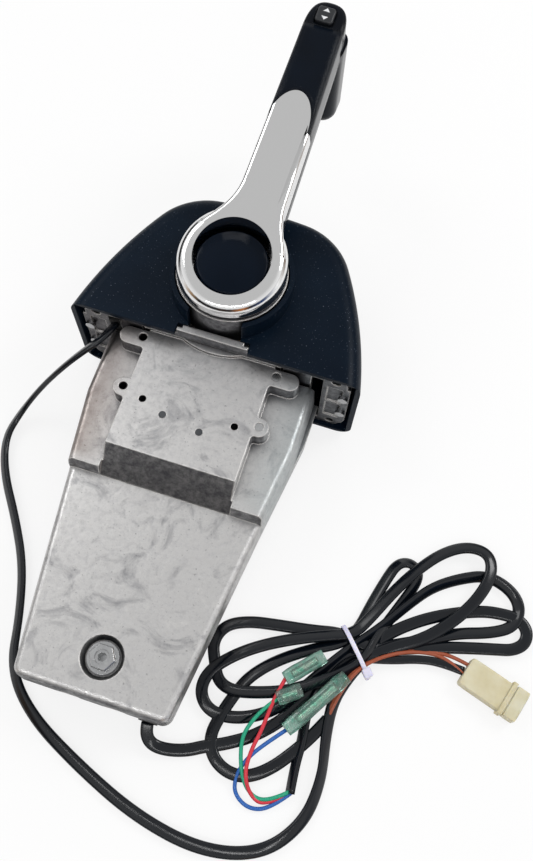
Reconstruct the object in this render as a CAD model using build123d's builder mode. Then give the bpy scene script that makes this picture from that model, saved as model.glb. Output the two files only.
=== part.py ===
from build123d import *
import math
import os

# Top-mount boat throttle control, laid on its far side.
# X fore and aft, Y up from the deck when installed, Z out of the lever side.
# The pieces are drawn about the hub axis, the Z line through X = 0, Y = 0, and are
# written about the middle of the footprint. Z = 0 is the surface the part lies on.

os.makedirs("parts", exist_ok=True)

# ---------------------------------------------------------------- driving dimensions (mm)
footprint_x = 1.5           # middle of the footprint, seen from the hub axis
footprint_y = -39.9

# cover
cover_x = 1.5               # fore-and-aft offset of the cover from the hub
cover_width = 72.0
cover_rim_y = -39.2
cover_crown_y = 56.5
crown_r = 300.0             # the cover's outline: crown, shoulder and flank arcs
crown_turn = 5.0            # degrees
shoulder_r = 41.5
shoulder_turn = 55.0
flank_r = 247.0
flank_turn = 19.8
cover_rim_half = 86.0       # half length at the rim
cover_wall = 3.0
cover_edge_r = 10.0
collar_r = 35.0
collar_top_z = 85.5
collar_gap = 0.8            # round the hub boss
slot_half = 21.5            # gap in the cover below the hub
slot_height = 6.5           # above the rim
throat_half = 15.5          # gap in the collar
cover_screw_r = 1.6
cover_boss_r = 3.8
cover_boss_length = 8.0

# deck frame
frame_y = -37.0             # mounting face
frame_t = 5.0
frame_half_length = 81.0
frame_near_z = 68.0
frame_far_z = 4.0
window_near_z = 63.0
window_far_z = 9.0
deck_pitch_x = 144.0
deck_pitch_z = 54.0
deck_hole_r = 2.75
cover_screw_pitch_x = 155.0
cover_screw_pitch_z = 20.0
deck_boss_r = 5.4
frame_corner_r = 12.0
frame_bolt_r = 2.5
frame_bolt_bite = 13.0      # into the housing
gap_x = 61.0                # slot between the web and the end pad, from cover_x
gap_width = 7.0
pad_pocket_x, pad_pocket_z = 9.0, 19.0      # shallow pockets in the end pads
pad_pocket_pitch = 21.0
pad_pocket_depth = 1.2
notch_x, notch_z = 4.0, 7.0                 # clip notches along both ends
rail_width, rail_step_width = 36.0, 42.0    # stepped rail across the gap in the cover
rail_height, rail_step_height = 4.0, 2.0
rail_length = 4.5

# housing
housing_bottom_y = -238.0
parting_z = 24.0
plate_z = 60.5
channel_z = 49.5
panel_z = 40.0
back_z = 5.0
back_step_y = -177.0
wall = 3.5
front_half_top = 63.0
front_half_bottom = 43.5
taper_start_y = -78.0
step_top_y = -108.3
step_foot_y = -122.5
channel_end_y = -120.0
back_half_top = 65.5
back_half_step = 49.6
back_half_bottom = 43.0
back_taper_start_y = -62.0
plate_half = 37.5
neck_r = 41.0
neck_back_z = 9.5
neck_front_z = 62.5
neck_root = 6.0             # how deep the neck's straight part runs into the body, both ways
neck_root_z = 45.0
neck_end_wall = 5.5         # behind the hub, where the front bush sits
screw_post_r = 6.0
screw_r = 2.5
head_recess_r = 4.6
screw_head_z = 9.0          # where the housing screws' heads sit
short_screw_length = 25.0
stud_r, stud_post_r = 4.0, 7.0
plate_corner_r = 2.0
lobe_reach, lobe_width, lobe_drop = 53.5, 10.4, 6.3      # the plate's two upper lobes
lobe_x, lobe_y, lobe_r = 40.0, -74.6, 5.6                # and the two lower ones
dowel_r, dowel_depth = 2.0, 9.0
small_hole_r = 2.1
boss_r = 31.5
boss_top_z = 86.5
boss_bore_r = 27.5
nut_x = -0.5
nut_y = -215.5
nut_seat_z = 35.0
nut_seat_r, nut_boss_r = 9.6, 13.0
clamp_post_r = 6.0

# shaft and gears
shaft_r = 8.0
pivot_r = 5.0
bush_r = 11.0
bush_length = 5.0
fit = 0.05                  # radial clearance of a turning fit
gear_module = 2.0
drive_teeth = 15
sector_teeth = 30
gear_centres = gear_module * (drive_teeth + sector_teeth) / 2
sector_reach = 36.0
sector_spread = 26.0        # degrees, each sector arm's lean at neutral

# lever
lever_lean = 2.3            # degrees, neutral leans this far towards +X
face_slope = 0.2            # rise of the lever's face per mm along it
face_z = 103.0              # lever face over the hub axis
arm_depth = 18.0
chrome_depth = 10.5
ring_r = 31.0
ring_bore_r = 21.9
ring_bottom_z = 88.0
cup_r = 26.0
cup_floor_z = 80.0
cup_bottom_z = 75.5
shaft_square = 11.0
tongue_tip_y = 103.0
tongue_shoulder_y = 80.0
seam_y = 141.0
grip_top_y = 158.0
palm_y = 145.0
palm_far_z = 60.0
button_r = 20.1
button_guide_r = 21.5
button_face_z = 97.0
button_dome = 0.8
button_bottom_z = 86.0
rocker_x, rocker_y = 1.0, 147.6   # across and along the lever
rocker_pin_drop = 3.5
rocker_pin_r = 1.0

mid_z = cover_width / 2
slope_factor = math.hypot(1, face_slope)     # length along the face for 1 mm along the lever
lean = math.radians(lever_lean)
lever_x = Vector(math.cos(lean), -math.sin(lean), 0)
lever_plane = Plane(origin=(0, 0, 0), x_dir=lever_x, z_dir=(0, 0, 1))
underside = Plane.XZ.offset(-frame_y)


def face_plane(drop=0.0):
    """The lever's sloping face, or the plane that lies drop below it."""
    normal = lever_plane.from_local_coords(Vector(0, -face_slope, 1))
    return Plane(origin=(0, 0, face_z), x_dir=lever_x, z_dir=normal).offset(-drop)


def save(builder, name):
    """Label a finished piece and write it, about the footprint's middle, to parts/."""
    placed = builder.part.moved(Location((-footprint_x, -footprint_y, 0)))
    placed.label = name
    export_step(placed, f"parts/{name}.step")


# ---------------------------------------------------------------- cover
def cover_profile(inset=0.0):
    """Fore-and-aft outline of the cover, centred on cover_x."""
    with BuildSketch(mode=Mode.PRIVATE) as outline:
        with BuildLine():
            crown = JernArc((0, cover_crown_y), (1, 0), crown_r, -crown_turn)
            shoulder = JernArc(crown @ 1, crown % 1, shoulder_r, -shoulder_turn)
            flank = JernArc(shoulder @ 1, shoulder % 1, flank_r, -flank_turn)
            Polyline(flank @ 1, (0, (flank @ 1).Y), (0, cover_crown_y))
        make_face()
        mirror(about=Plane.YZ)
        if inset:
            offset(amount=-inset, kind=Kind.INTERSECTION)
    return outline.sketch


cover_screw_spots = [(cover_x + sx * cover_screw_pitch_x / 2, mid_z + sz * cover_screw_pitch_z / 2)
                     for sx in (-1, 1) for sz in (-1, 1)]

with BuildPart() as top_cover:
    with BuildSketch(Plane.XY):
        with Locations((cover_x, 0)):
            add(cover_profile())
    extrude(amount=cover_width)
    rims = top_cover.faces().filter_by(Axis.Z).edges().filter_by(GeomType.CIRCLE)
    fillet(rims, radius=cover_edge_r)
    with BuildSketch(Plane.XY.offset(cover_wall)):
        with Locations((cover_x, 0)):
            add(cover_profile(cover_wall))
        with Locations((cover_x, cover_rim_y)):
            Rectangle(2 * (cover_rim_half - cover_wall) - 0.6, 2)
    extrude(amount=cover_width - 2 * cover_wall, mode=Mode.SUBTRACT)
    split(bisect_by=Plane(origin=(0, cover_rim_y, 0), z_dir=(0, 1, 0)), keep=Keep.TOP)
    # screw bosses down to the frame
    with BuildSketch(Plane.XZ.offset(-frame_y - frame_t)):
        with Locations(*cover_screw_spots):
            Circle(cover_boss_r)
    extrude(amount=-cover_boss_length)
    with BuildSketch(Plane.XZ.offset(-frame_y - frame_t)):
        with Locations(*cover_screw_spots):
            Circle(cover_screw_r)
    extrude(amount=-cover_boss_length + 1, mode=Mode.SUBTRACT)
    # collar round the hub and the gap below it
    with BuildSketch(Plane.XY.offset(cover_width - cover_wall)):
        Circle(collar_r)
    extrude(amount=collar_top_z - cover_width + cover_wall)
    with BuildSketch(Plane.XY.offset(cover_width - 2 * cover_wall)):
        Circle(boss_r + collar_gap)
        with Locations((0, cover_rim_y)):
            Rectangle(2 * slot_half, 2 * slot_height)
        with Locations((0, -boss_r)):
            Rectangle(2 * throat_half, 12)
    extrude(amount=collar_top_z - cover_width + 3 * cover_wall, mode=Mode.SUBTRACT)
save(top_cover, "top_cover")

# ---------------------------------------------------------------- deck frame
deck_holes = [(cover_x + sx * deck_pitch_x / 2, mid_z + sz * deck_pitch_z / 2)
              for sx in (-1, 1) for sz in (-1, 1)]
frame_bolt_spots = [(sx * 50.0, z) for sx in (-1, 1) for z in (14.0, 38.0)]

with BuildPart() as base_frame:
    with BuildSketch(underside):
        with Locations((cover_x, (frame_near_z + frame_far_z) / 2)):
            RectangleRounded(2 * frame_half_length, frame_near_z - frame_far_z, frame_corner_r)
        with Locations((0, (window_near_z + window_far_z) / 2)):
            Rectangle(2 * neck_r + 2, window_near_z - window_far_z, mode=Mode.SUBTRACT)
        with Locations((cover_x - gap_x, (window_near_z + window_far_z) / 2),
                       (cover_x + gap_x, (window_near_z + window_far_z) / 2)):
            Rectangle(gap_width, window_near_z - window_far_z, mode=Mode.SUBTRACT)
        with Locations(*cover_screw_spots):
            Circle(cover_screw_r + 0.1, mode=Mode.SUBTRACT)
        with Locations(*frame_bolt_spots):
            Circle(frame_bolt_r + 0.1, mode=Mode.SUBTRACT)
    extrude(amount=-frame_t)
    # shallow pockets in the end pads, a rib left between each two
    with BuildSketch(underside):
        with Locations((cover_x, mid_z)):
            with GridLocations(deck_pitch_x, pad_pocket_pitch, 2, 2):
                Rectangle(pad_pocket_x, pad_pocket_z)
    extrude(amount=-pad_pocket_depth, mode=Mode.SUBTRACT)
    with BuildSketch(underside):
        with Locations(*deck_holes):
            Circle(deck_boss_r)
    extrude(amount=-frame_t)
    with BuildSketch(underside):
        with Locations(*deck_holes):
            Circle(deck_hole_r)
    extrude(amount=-frame_t, mode=Mode.SUBTRACT)
    # clip notches along both ends
    with BuildSketch(underside):
        with Locations((cover_x, mid_z + 25)):
            with GridLocations(2 * frame_half_length, 1, 2, 1):
                Rectangle(notch_x, notch_z)
    extrude(amount=-frame_t, mode=Mode.SUBTRACT)
    # stepped rail across the gap in the cover
    with BuildSketch(Plane.XY.offset(frame_near_z - 1)):
        with Locations((0, frame_y + rail_step_height / 2)):
            Rectangle(rail_step_width, rail_step_height)
        with Locations((0, frame_y + rail_height / 2)):
            Rectangle(rail_width, rail_height)
    extrude(amount=rail_length)
save(base_frame, "base_frame")


# ---------------------------------------------------------------- housing
def tapered_outline(top_half, bottom_half, top_y, bottom_y, start_y):
    """Housing outline: straight sides down to start_y, tapering below it."""
    with BuildSketch(mode=Mode.PRIVATE) as outline:
        Polygon((-top_half, top_y), (-top_half, start_y), (-bottom_half, bottom_y),
                (bottom_half, bottom_y), (top_half, start_y), (top_half, top_y), align=None)
    return outline.sketch


def front_half_at(y):
    """Half width of the front casting at height y."""
    slope = (front_half_top - front_half_bottom) / (taper_start_y - housing_bottom_y)
    return front_half_top - slope * (taper_start_y - min(y, taper_start_y))


def neck_outline(r, foot_y=frame_y):
    """The neck that carries the shaft: round about the hub, straight down to foot_y."""
    with BuildSketch(mode=Mode.PRIVATE) as outline:
        Circle(r)
        with Locations((0, foot_y / 2)):
            Rectangle(2 * r, -foot_y)
    return outline.sketch


through_screw_spots = [(40.0, -42.4), (40.0, -74.2)]
short_screw_spots = [(sx * 47.0, -129.0) for sx in (-1, 1)] + [(sx * 35.0, -225.0) for sx in (-1, 1)]
open_hole_spots = [(-40.0, -42.4), (-40.0, -74.2)]
small_hole_spots = [(-27.0, -78.3), (27.0, -78.3)]
dowel_spots = [(-13.2, -83.9), (9.5, -87.5)]
cable_x = 13.0
cable_r = 6.5
lead_exit_x = 30.0
lead_exit_z = 9.0
lead_r = 3.0
grommet_r = 5.5
pivot_spot = (0.0, -gear_centres)
bolt_post_spots = [(-50.0, frame_y - 4), (50.0, frame_y - 4)]     # take the frame's bolts
bolt_post_width, bolt_post_length = 12.0, 30.0

with BuildPart() as housing_front:
    # lower panel
    with BuildSketch(Plane.XY.offset(parting_z)) as panel_outline:
        add(tapered_outline(front_half_top, front_half_bottom, frame_y, housing_bottom_y, taper_start_y))
        fillet(panel_outline.vertices().group_by(Axis.Y)[0], radius=6)
    extrude(amount=panel_z - parting_z, taper=2.5)
    panel_edges = housing_front.edges().group_by(Axis.Z)[-1].sort_by(Axis.Y)[:-1]
    fillet(panel_edges, radius=4)
    # upper body with the side channels
    with BuildSketch(Plane.XY.offset(parting_z)):
        add(tapered_outline(front_half_top, front_half_at(step_foot_y), frame_y, step_foot_y,
                            taper_start_y))
    extrude(amount=channel_z - parting_z, taper=2.5)
    upper_edges = housing_front.edges().group_by(Axis.Z)[-1].filter_by(Axis.X, reverse=True)
    fillet(upper_edges, radius=4)
    with BuildSketch(Plane.YZ):
        Polygon((channel_end_y, channel_z), (channel_end_y, channel_z + 20),
                (channel_end_y - 9, channel_z + 20), (channel_end_y - 9, panel_z),
                (step_foot_y, panel_z), align=None)
    extrude(amount=front_half_top + 2, both=True, mode=Mode.SUBTRACT)
    # raised plate with four lobes, sloping down to the panel
    with BuildSketch(Plane.XY.offset(channel_z - 8)) as plate_outline:
        Polygon((-plate_half, frame_y), (-plate_half, step_foot_y), (plate_half, step_foot_y),
                (plate_half, frame_y), align=None)
        with Locations((0, frame_y - lobe_drop)):
            SlotOverall(2 * lobe_reach, lobe_width)
        with Locations((-lobe_x, lobe_y), (lobe_x, lobe_y)):
            Circle(lobe_r)
        inner_corners = plate_outline.vertices().filter_by_position(Axis.Y, -85, -45)
        fillet(inner_corners, radius=plate_corner_r)
    extrude(amount=plate_z - channel_z + 8)
    with BuildSketch(Plane.YZ):
        Polygon((step_top_y, plate_z), (step_top_y, plate_z + 5), (step_foot_y - 10, plate_z + 5),
                (step_foot_y - 10, panel_z), (step_foot_y, panel_z), align=None)
    extrude(amount=plate_half + 1, both=True, mode=Mode.SUBTRACT)
    # neck up through the deck frame, with the round hub boss
    with BuildSketch(Plane.XY.offset(parting_z)):
        add(neck_outline(neck_r))
    extrude(amount=neck_front_z - parting_z)
    with BuildSketch(Plane.XY.offset(parting_z)):
        with Locations((0, frame_y)):
            Rectangle(2 * neck_r, neck_root)
    extrude(amount=neck_root_z - parting_z)
    with BuildSketch(Plane.XY.offset(neck_front_z)):
        Circle(boss_r)
    extrude(amount=boss_top_z - neck_front_z)
    with BuildSketch(Plane.XY.offset(neck_front_z + 1)):
        Circle(boss_bore_r)
    extrude(amount=boss_top_z - neck_front_z, mode=Mode.SUBTRACT)
    # hollow behind the neck, the channels and the panel
    with BuildSketch(Plane.XY.offset(parting_z)):
        add(neck_outline(neck_r - wall, frame_y - 8))
        with Locations(*through_screw_spots, *open_hole_spots):
            Circle(screw_post_r, mode=Mode.SUBTRACT)
    extrude(amount=neck_front_z - neck_end_wall - parting_z, mode=Mode.SUBTRACT)
    with BuildSketch(Plane.XY.offset(parting_z)):
        add(tapered_outline(front_half_top - wall, front_half_at(-116.0) - wall, frame_y - 4, -116.0,
                            taper_start_y))
        with Locations(*through_screw_spots, *open_hole_spots):
            Circle(screw_post_r, mode=Mode.SUBTRACT)
        with Locations(*bolt_post_spots):
            Rectangle(bolt_post_width, bolt_post_length, mode=Mode.SUBTRACT)
    extrude(amount=channel_z - wall - parting_z, mode=Mode.SUBTRACT)
    with BuildSketch(Plane.XY.offset(parting_z)):
        add(tapered_outline(front_half_at(-112.0) - wall, front_half_bottom - wall, -112.0,
                            housing_bottom_y + wall, -112.0))
        with Locations(*short_screw_spots):
            Circle(screw_post_r, mode=Mode.SUBTRACT)
        with Locations((nut_x, nut_y)):
            Circle(clamp_post_r, mode=Mode.SUBTRACT)
    extrude(amount=panel_z - wall - parting_z, mode=Mode.SUBTRACT)
    with BuildSketch(Plane.XY.offset(nut_seat_z - wall)):
        with Locations((nut_x, nut_y)):
            Circle(nut_boss_r)
    extrude(amount=wall + 2)
    # nut seat
    with BuildSketch(Plane.XY.offset(nut_seat_z)):
        with Locations((nut_x, nut_y)):
            Circle(nut_seat_r)
    extrude(amount=panel_z - nut_seat_z + 0.01, taper=-25, mode=Mode.SUBTRACT)
    # holes
    with Locations((0, 0, neck_front_z)):
        Hole(radius=bush_r, depth=8)
    with Locations((nut_x, nut_y, nut_seat_z)):
        Hole(radius=stud_r, depth=nut_seat_z - parting_z)
    with Locations(*[(x, y, plate_z) for x, y in through_screw_spots + open_hole_spots]):
        Hole(radius=screw_r, depth=plate_z - parting_z)
    with Locations(*[(x, y, plate_z) for x, y in small_hole_spots]):
        Hole(radius=small_hole_r, depth=plate_z - channel_z)
    with Locations(*[(x, y, plate_z) for x, y in dowel_spots]):
        Hole(radius=dowel_r, depth=dowel_depth)
    with BuildSketch(Plane.XY.offset(parting_z)):
        with Locations(*short_screw_spots):
            Circle(screw_r)
    extrude(amount=10, mode=Mode.SUBTRACT)
    with BuildSketch(Plane.XY.offset(channel_z - 8)):
        with Locations(pivot_spot):
            Circle(pivot_r)
    extrude(amount=10, mode=Mode.SUBTRACT)
    with BuildSketch(underside):
        with Locations(*[spot for spot in frame_bolt_spots if spot[1] > parting_z]):
            Circle(frame_bolt_r)
    extrude(amount=frame_bolt_bite + 1, mode=Mode.SUBTRACT)
    with BuildSketch(Plane.XZ.offset(-housing_bottom_y)):
        with Locations((-cable_x, parting_z), (cable_x, parting_z)):
            Circle(cable_r)
    extrude(amount=-wall - 1, mode=Mode.SUBTRACT)
save(housing_front, "housing_front")

with BuildPart() as housing_back:
    with BuildSketch(Plane.XY.offset(parting_z)):
        add(tapered_outline(back_half_top, back_half_step, frame_y, back_step_y, back_taper_start_y))
    extrude(amount=back_z - parting_z, taper=4)
    far_edges = housing_back.edges().group_by(Axis.Z)[0].filter_by(Axis.X, reverse=True)
    fillet(far_edges, radius=4)
    # the lower end reaches out to the level of the cover
    with BuildSketch(Plane.XY.offset(parting_z)) as lower_outline:
        add(tapered_outline(back_half_step - 1.5, back_half_bottom, back_step_y + 12, housing_bottom_y,
                            back_step_y + 12))
        chamfer(lower_outline.vertices().group_by(Axis.Y)[0], length=6, length2=11)
    extrude(amount=-parting_z, taper=4)
    fillet(housing_back.edges().group_by(Axis.Z)[0], radius=4)
    with BuildSketch(Plane.XY.offset(parting_z)):
        add(neck_outline(neck_r))
        with Locations((0, frame_y)):
            Rectangle(2 * neck_r, neck_root)
    extrude(amount=neck_back_z - parting_z)
    # hollow
    with BuildSketch(Plane.XY.offset(parting_z)):
        add(neck_outline(neck_r - wall, frame_y - 8))
        with Locations(*through_screw_spots):
            Circle(screw_post_r, mode=Mode.SUBTRACT)
    extrude(amount=neck_back_z + bush_length - parting_z, mode=Mode.SUBTRACT)
    with BuildSketch(Plane.XY.offset(parting_z)):
        add(tapered_outline(front_half_top - wall, back_half_step - 6.0, frame_y - 4, back_step_y,
                            back_taper_start_y))
        add(tapered_outline(back_half_step - 7.0, back_half_bottom - 6.0, back_step_y,
                            housing_bottom_y + 14, back_step_y))
        with Locations(*through_screw_spots):
            Circle(screw_post_r, mode=Mode.SUBTRACT)
        with Locations(*short_screw_spots):
            Circle(screw_post_r, mode=Mode.SUBTRACT)
        with Locations(*bolt_post_spots):
            Rectangle(bolt_post_width, bolt_post_length, mode=Mode.SUBTRACT)
        with Locations((nut_x, nut_y)):
            Circle(stud_post_r, mode=Mode.SUBTRACT)
    extrude(amount=back_z + wall - parting_z, mode=Mode.SUBTRACT)
    with BuildSketch(Plane.XY.offset(parting_z)):
        with Locations((0, housing_bottom_y + 12)):
            Rectangle(50, 17)
    extrude(amount=back_z + wall - parting_z, mode=Mode.SUBTRACT)
    with BuildSketch(Plane.XZ.offset(-housing_bottom_y)):
        with Locations((-cable_x, parting_z), (cable_x, parting_z)):
            Circle(cable_r)
        with Locations((lead_exit_x, lead_exit_z)):
            Circle(grommet_r)
    extrude(amount=-wall - 4, mode=Mode.SUBTRACT)
    # holes
    with Locations((0, 0, neck_back_z + bush_length)):
        Hole(radius=bush_r, depth=bush_length)
    with Locations((pivot_spot[0], pivot_spot[1], parting_z)):
        Hole(radius=pivot_r, depth=parting_z - back_z - wall)
    with Locations((nut_x, nut_y, parting_z)):
        Hole(radius=stud_r, depth=parting_z - back_z - wall)
    with Locations(*[(x, y, parting_z) for x, y in through_screw_spots + short_screw_spots]):
        Hole(radius=screw_r + fit, depth=parting_z)
    with BuildSketch(Plane.XY.offset(screw_head_z)):
        with Locations(*through_screw_spots, *short_screw_spots):
            Circle(head_recess_r)
    extrude(amount=-12, mode=Mode.SUBTRACT)
    with BuildSketch(underside):
        with Locations(*[spot for spot in frame_bolt_spots if spot[1] < parting_z]):
            Circle(frame_bolt_r)
    extrude(amount=frame_bolt_bite + 1, mode=Mode.SUBTRACT)
save(housing_back, "housing_back")


# ---------------------------------------------------------------- shaft and gears
addendum, dedendum = 0.85 * gear_module, 1.15 * gear_module
tooth_root, tooth_pitch, tooth_tip = 0.78 * gear_module, 0.66 * gear_module, 0.26 * gear_module


def toothed_outline(teeth, spread=360.0, first=0.0):
    """Spur teeth on their root circle; first is the first tooth's angle, spread what they cover."""
    pitch_r = gear_module * teeth / 2
    tip_r = pitch_r + addendum
    root_r = pitch_r - dedendum
    count = round(teeth * spread / 360)
    with BuildSketch(mode=Mode.PRIVATE) as outline:
        with BuildSketch(mode=Mode.PRIVATE) as tooth:
            Polygon((root_r - 1, -tooth_root), (pitch_r, -tooth_pitch), (tip_r, -tooth_tip),
                    (tip_r, tooth_tip), (pitch_r, tooth_pitch), (root_r - 1, tooth_root), align=None)
        for index in range(count):
            add(tooth.sketch.rotate(Axis.Z, first + index * 360 / teeth))
        if spread == 360.0:
            Circle(root_r)
    return outline.sketch


shaft_end_z = cup_floor_z - 0.3
gear_bottom_z = 27.0
gear_top_z = 45.0
shift_z = 28.0
throttle_z = 36.0
sector_t = 6.0
sector_hub_r = 9.0
sector_arm_width = 10.0
anchor_pin_r, anchor_pin_length = 3.0, 3.2
fan_start, fan_end = 31.0, 149.0            # degrees, the toothed part's web
bolt_hole_r, bolt_hole_depth = 3.0, 16.0

with BuildPart() as lever_shaft:
    with BuildSketch(Plane.XY.offset(neck_back_z + 0.5)):
        Circle(shaft_r)
    extrude(amount=cup_bottom_z - neck_back_z - 0.5)
    # squared end that the lever's hub fits over
    with BuildSketch(Plane.XY.offset(cup_bottom_z)):
        Rectangle(shaft_square, shaft_square)
    extrude(amount=shaft_end_z - cup_bottom_z)
    with Locations((0, 0, shaft_end_z)):
        Hole(radius=bolt_hole_r, depth=bolt_hole_depth)
    chamfer(lever_shaft.edges().group_by(Axis.Z)[0], length=1)
save(lever_shaft, "lever_shaft")

bush_spots = {"front_bush": neck_front_z - neck_end_wall, "rear_bush": neck_back_z}
for bush_name, bush_z in bush_spots.items():
    with BuildPart() as bush:
        with BuildSketch(Plane.XY.offset(bush_z)):
            Circle(bush_r)
            Circle(shaft_r + fit, mode=Mode.SUBTRACT)
        extrude(amount=bush_length)
    save(bush, bush_name)

with BuildPart() as drive_gear:
    with BuildSketch(Plane.XY.offset(gear_bottom_z)):
        add(toothed_outline(drive_teeth, first=-90.0))
        Circle(shaft_r, mode=Mode.SUBTRACT)
    extrude(amount=gear_top_z - gear_bottom_z)
save(drive_gear, "drive_gear")


def sector(height, side):
    """A toothed sector with an arm that hangs to one side; side is -1 or 1."""
    web_r = gear_module * sector_teeth / 2 - 2.2
    web_start, web_end = math.radians(fan_start), math.radians(fan_end)
    arm_angle = math.radians(-90 + side * sector_spread)
    arm_end = (sector_reach * math.cos(arm_angle), sector_reach * math.sin(arm_angle))
    with BuildPart() as piece:
        with BuildSketch(Plane.XY.offset(height)):
            with Locations(pivot_spot):
                add(toothed_outline(sector_teeth, spread=120.0, first=36.0))
                with BuildSketch(mode=Mode.PRIVATE) as fan:
                    with BuildLine():
                        CenterArc((0, 0), web_r, fan_start, fan_end - fan_start)
                        Line((0, 0), (web_r * math.cos(web_start), web_r * math.sin(web_start)))
                        Line((0, 0), (web_r * math.cos(web_end), web_r * math.sin(web_end)))
                    make_face()
                add(fan.sketch)
                Circle(sector_hub_r)
                with BuildSketch(mode=Mode.PRIVATE) as arm:
                    SlotCenterPoint((arm_end[0] / 2, arm_end[1] / 2), arm_end, sector_arm_width)
                add(arm.sketch)
                Circle(pivot_r + fit, mode=Mode.SUBTRACT)
        extrude(amount=sector_t)
        with BuildSketch(Plane.XY.offset(height + sector_t)):
            with Locations((pivot_spot[0] + arm_end[0], pivot_spot[1] + arm_end[1])):
                Circle(anchor_pin_r)
        extrude(amount=anchor_pin_length)
    return piece


shift_sector = sector(shift_z, -1)
save(shift_sector, "shift_sector")
throttle_sector = sector(throttle_z, 1)
save(throttle_sector, "throttle_sector")

with BuildPart() as sector_pivot:
    with BuildSketch(Plane.XY.offset(back_z + wall)):
        with Locations(pivot_spot):
            Circle(pivot_r)
    extrude(amount=channel_z + 2 - back_z - wall)
save(sector_pivot, "sector_pivot")

# ---------------------------------------------------------------- fasteners
def socket_screw(spot, length, r):
    """Socket-head screw whose head sits at screw_head_z and whose shank points up."""
    head_size = 1.7 * r
    socket_r = 0.95 * r
    with BuildPart() as screw:
        with BuildSketch(Plane.XY.offset(screw_head_z)):
            with Locations(spot):
                Circle(r)
        extrude(amount=length)
        with BuildSketch(Plane.XY.offset(screw_head_z)):
            with Locations(spot):
                Circle(head_size)
        extrude(amount=-head_size)
        with BuildSketch(Plane.XY.offset(screw_head_z - head_size)):
            with Locations(spot):
                RegularPolygon(socket_r, 6)
        extrude(amount=r, mode=Mode.SUBTRACT)
    return screw.part


def upright_screw(spot, seat_y, length, r, direction):
    """Pan-head screw along Y; spot is (X, Z), direction is the way the shank points."""
    head_r = 1.8 * r
    head_height = 1.3 * r
    seat = Plane.XZ.offset(-seat_y)
    with BuildPart() as screw:
        with BuildSketch(seat):
            with Locations(spot):
                Circle(r)
        extrude(amount=-direction * length)
        with BuildSketch(seat):
            with Locations(spot):
                Circle(head_r)
        extrude(amount=direction * head_height)
    return screw.part


with BuildPart() as housing_screws:
    for x, y in through_screw_spots:
        add(socket_screw((x, y), plate_z - 0.3 - screw_head_z, screw_r))
    for x, y in short_screw_spots:
        add(socket_screw((x, y), short_screw_length, screw_r))
save(housing_screws, "housing_screws")

with BuildPart() as frame_bolts:
    for spot in frame_bolt_spots:
        add(upright_screw(spot, frame_y + frame_t, frame_t + frame_bolt_bite, frame_bolt_r, -1))
save(frame_bolts, "frame_bolts")

with BuildPart() as cover_screws:
    for spot in cover_screw_spots:
        add(upright_screw(spot, frame_y, frame_t + cover_boss_length - 2, cover_screw_r, 1))
save(cover_screws, "cover_screws")

with BuildPart() as dowel_pins:
    with BuildSketch(Plane.XY.offset(plate_z - dowel_depth)):
        with Locations(*dowel_spots):
            Circle(dowel_r)
    extrude(amount=dowel_depth + 0.2)
save(dowel_pins, "dowel_pins")

nut_flange_r, nut_flange_t = 8.7, 2.0
nut_flat_r, nut_height = 6.5, 6.2
stud_end_z = nut_seat_z + 5.2

with BuildPart() as flange_nut:
    with BuildSketch(Plane.XY.offset(nut_seat_z)):
        with Locations((nut_x, nut_y)):
            Circle(nut_flange_r)
    extrude(amount=nut_flange_t)
    with BuildSketch(Plane.XY.offset(nut_seat_z + nut_flange_t)):
        with Locations((nut_x, nut_y)):
            RegularPolygon(nut_flat_r, 6, major_radius=False)
    extrude(amount=nut_height - nut_flange_t)
    chamfer(flange_nut.edges().group_by(Axis.Z)[-1], length=0.5)
    with Locations((nut_x, nut_y, nut_seat_z + nut_height)):
        Hole(radius=stud_r)
save(flange_nut, "flange_nut")

with BuildPart() as clamp_stud:
    with BuildSketch(Plane.XY.offset(back_z + wall)):
        with Locations((nut_x, nut_y)):
            Circle(stud_r)
    extrude(amount=stud_end_z - back_z - wall)
    with Locations((nut_x, nut_y, stud_end_z)):
        Hole(radius=2.4, depth=9)
save(clamp_stud, "clamp_stud")


# ---------------------------------------------------------------- lever
def lever_level(z):
    """Plane at height z, turned with the lever: its local Y runs up the arm."""
    return lever_plane.offset(z)


arm_left, arm_right = -10.3, 18.0     # sides of the arm, from the line through the hub
arm_end_mid, arm_end_half = 1.8, 12.8
left_foot, right_foot = (-25.5, 12.0), (28.0, 8.0)      # where the flares leave the ring
left_flare_end_y, right_flare_end_y = 45.0, 38.0
left_foot_heading, right_foot_heading = (0.5, 0.87), (-0.35, 0.94)
arm_draft = 0.04                      # sideways per unit of depth
arm_edge_r = 2.5


def arm_outline(grow):
    """Arm seen from above, grown sideways: flared into the ring, with a rounded end."""
    with BuildSketch(mode=Mode.PRIVATE) as outline:
        with BuildLine():
            left_flare = Spline(left_foot, (arm_left - grow, left_flare_end_y),
                                tangents=(left_foot_heading, (0, 1)))
            left_side = Line(left_flare @ 1, (arm_end_mid - arm_end_half - grow, seam_y))
            right_flare = Spline(right_foot, (arm_right + grow, right_flare_end_y),
                                 tangents=(right_foot_heading, (0, 1)))
            right_side = Line(right_flare @ 1, (arm_end_mid + arm_end_half + grow, seam_y))
            Spline(right_side @ 1, (arm_end_mid, grip_top_y), left_side @ 1, tangents=((0, 1), (0, -1)))
            Line(right_flare @ 0, left_flare @ 0)
        make_face()
    return outline.sketch


low_z, high_z = 85.0, 137.0           # levels that enclose the whole arm
middle_z = (low_z + high_z) / 2
face_axis = Axis((0, 0, 0), face_plane().z_dir)

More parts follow.
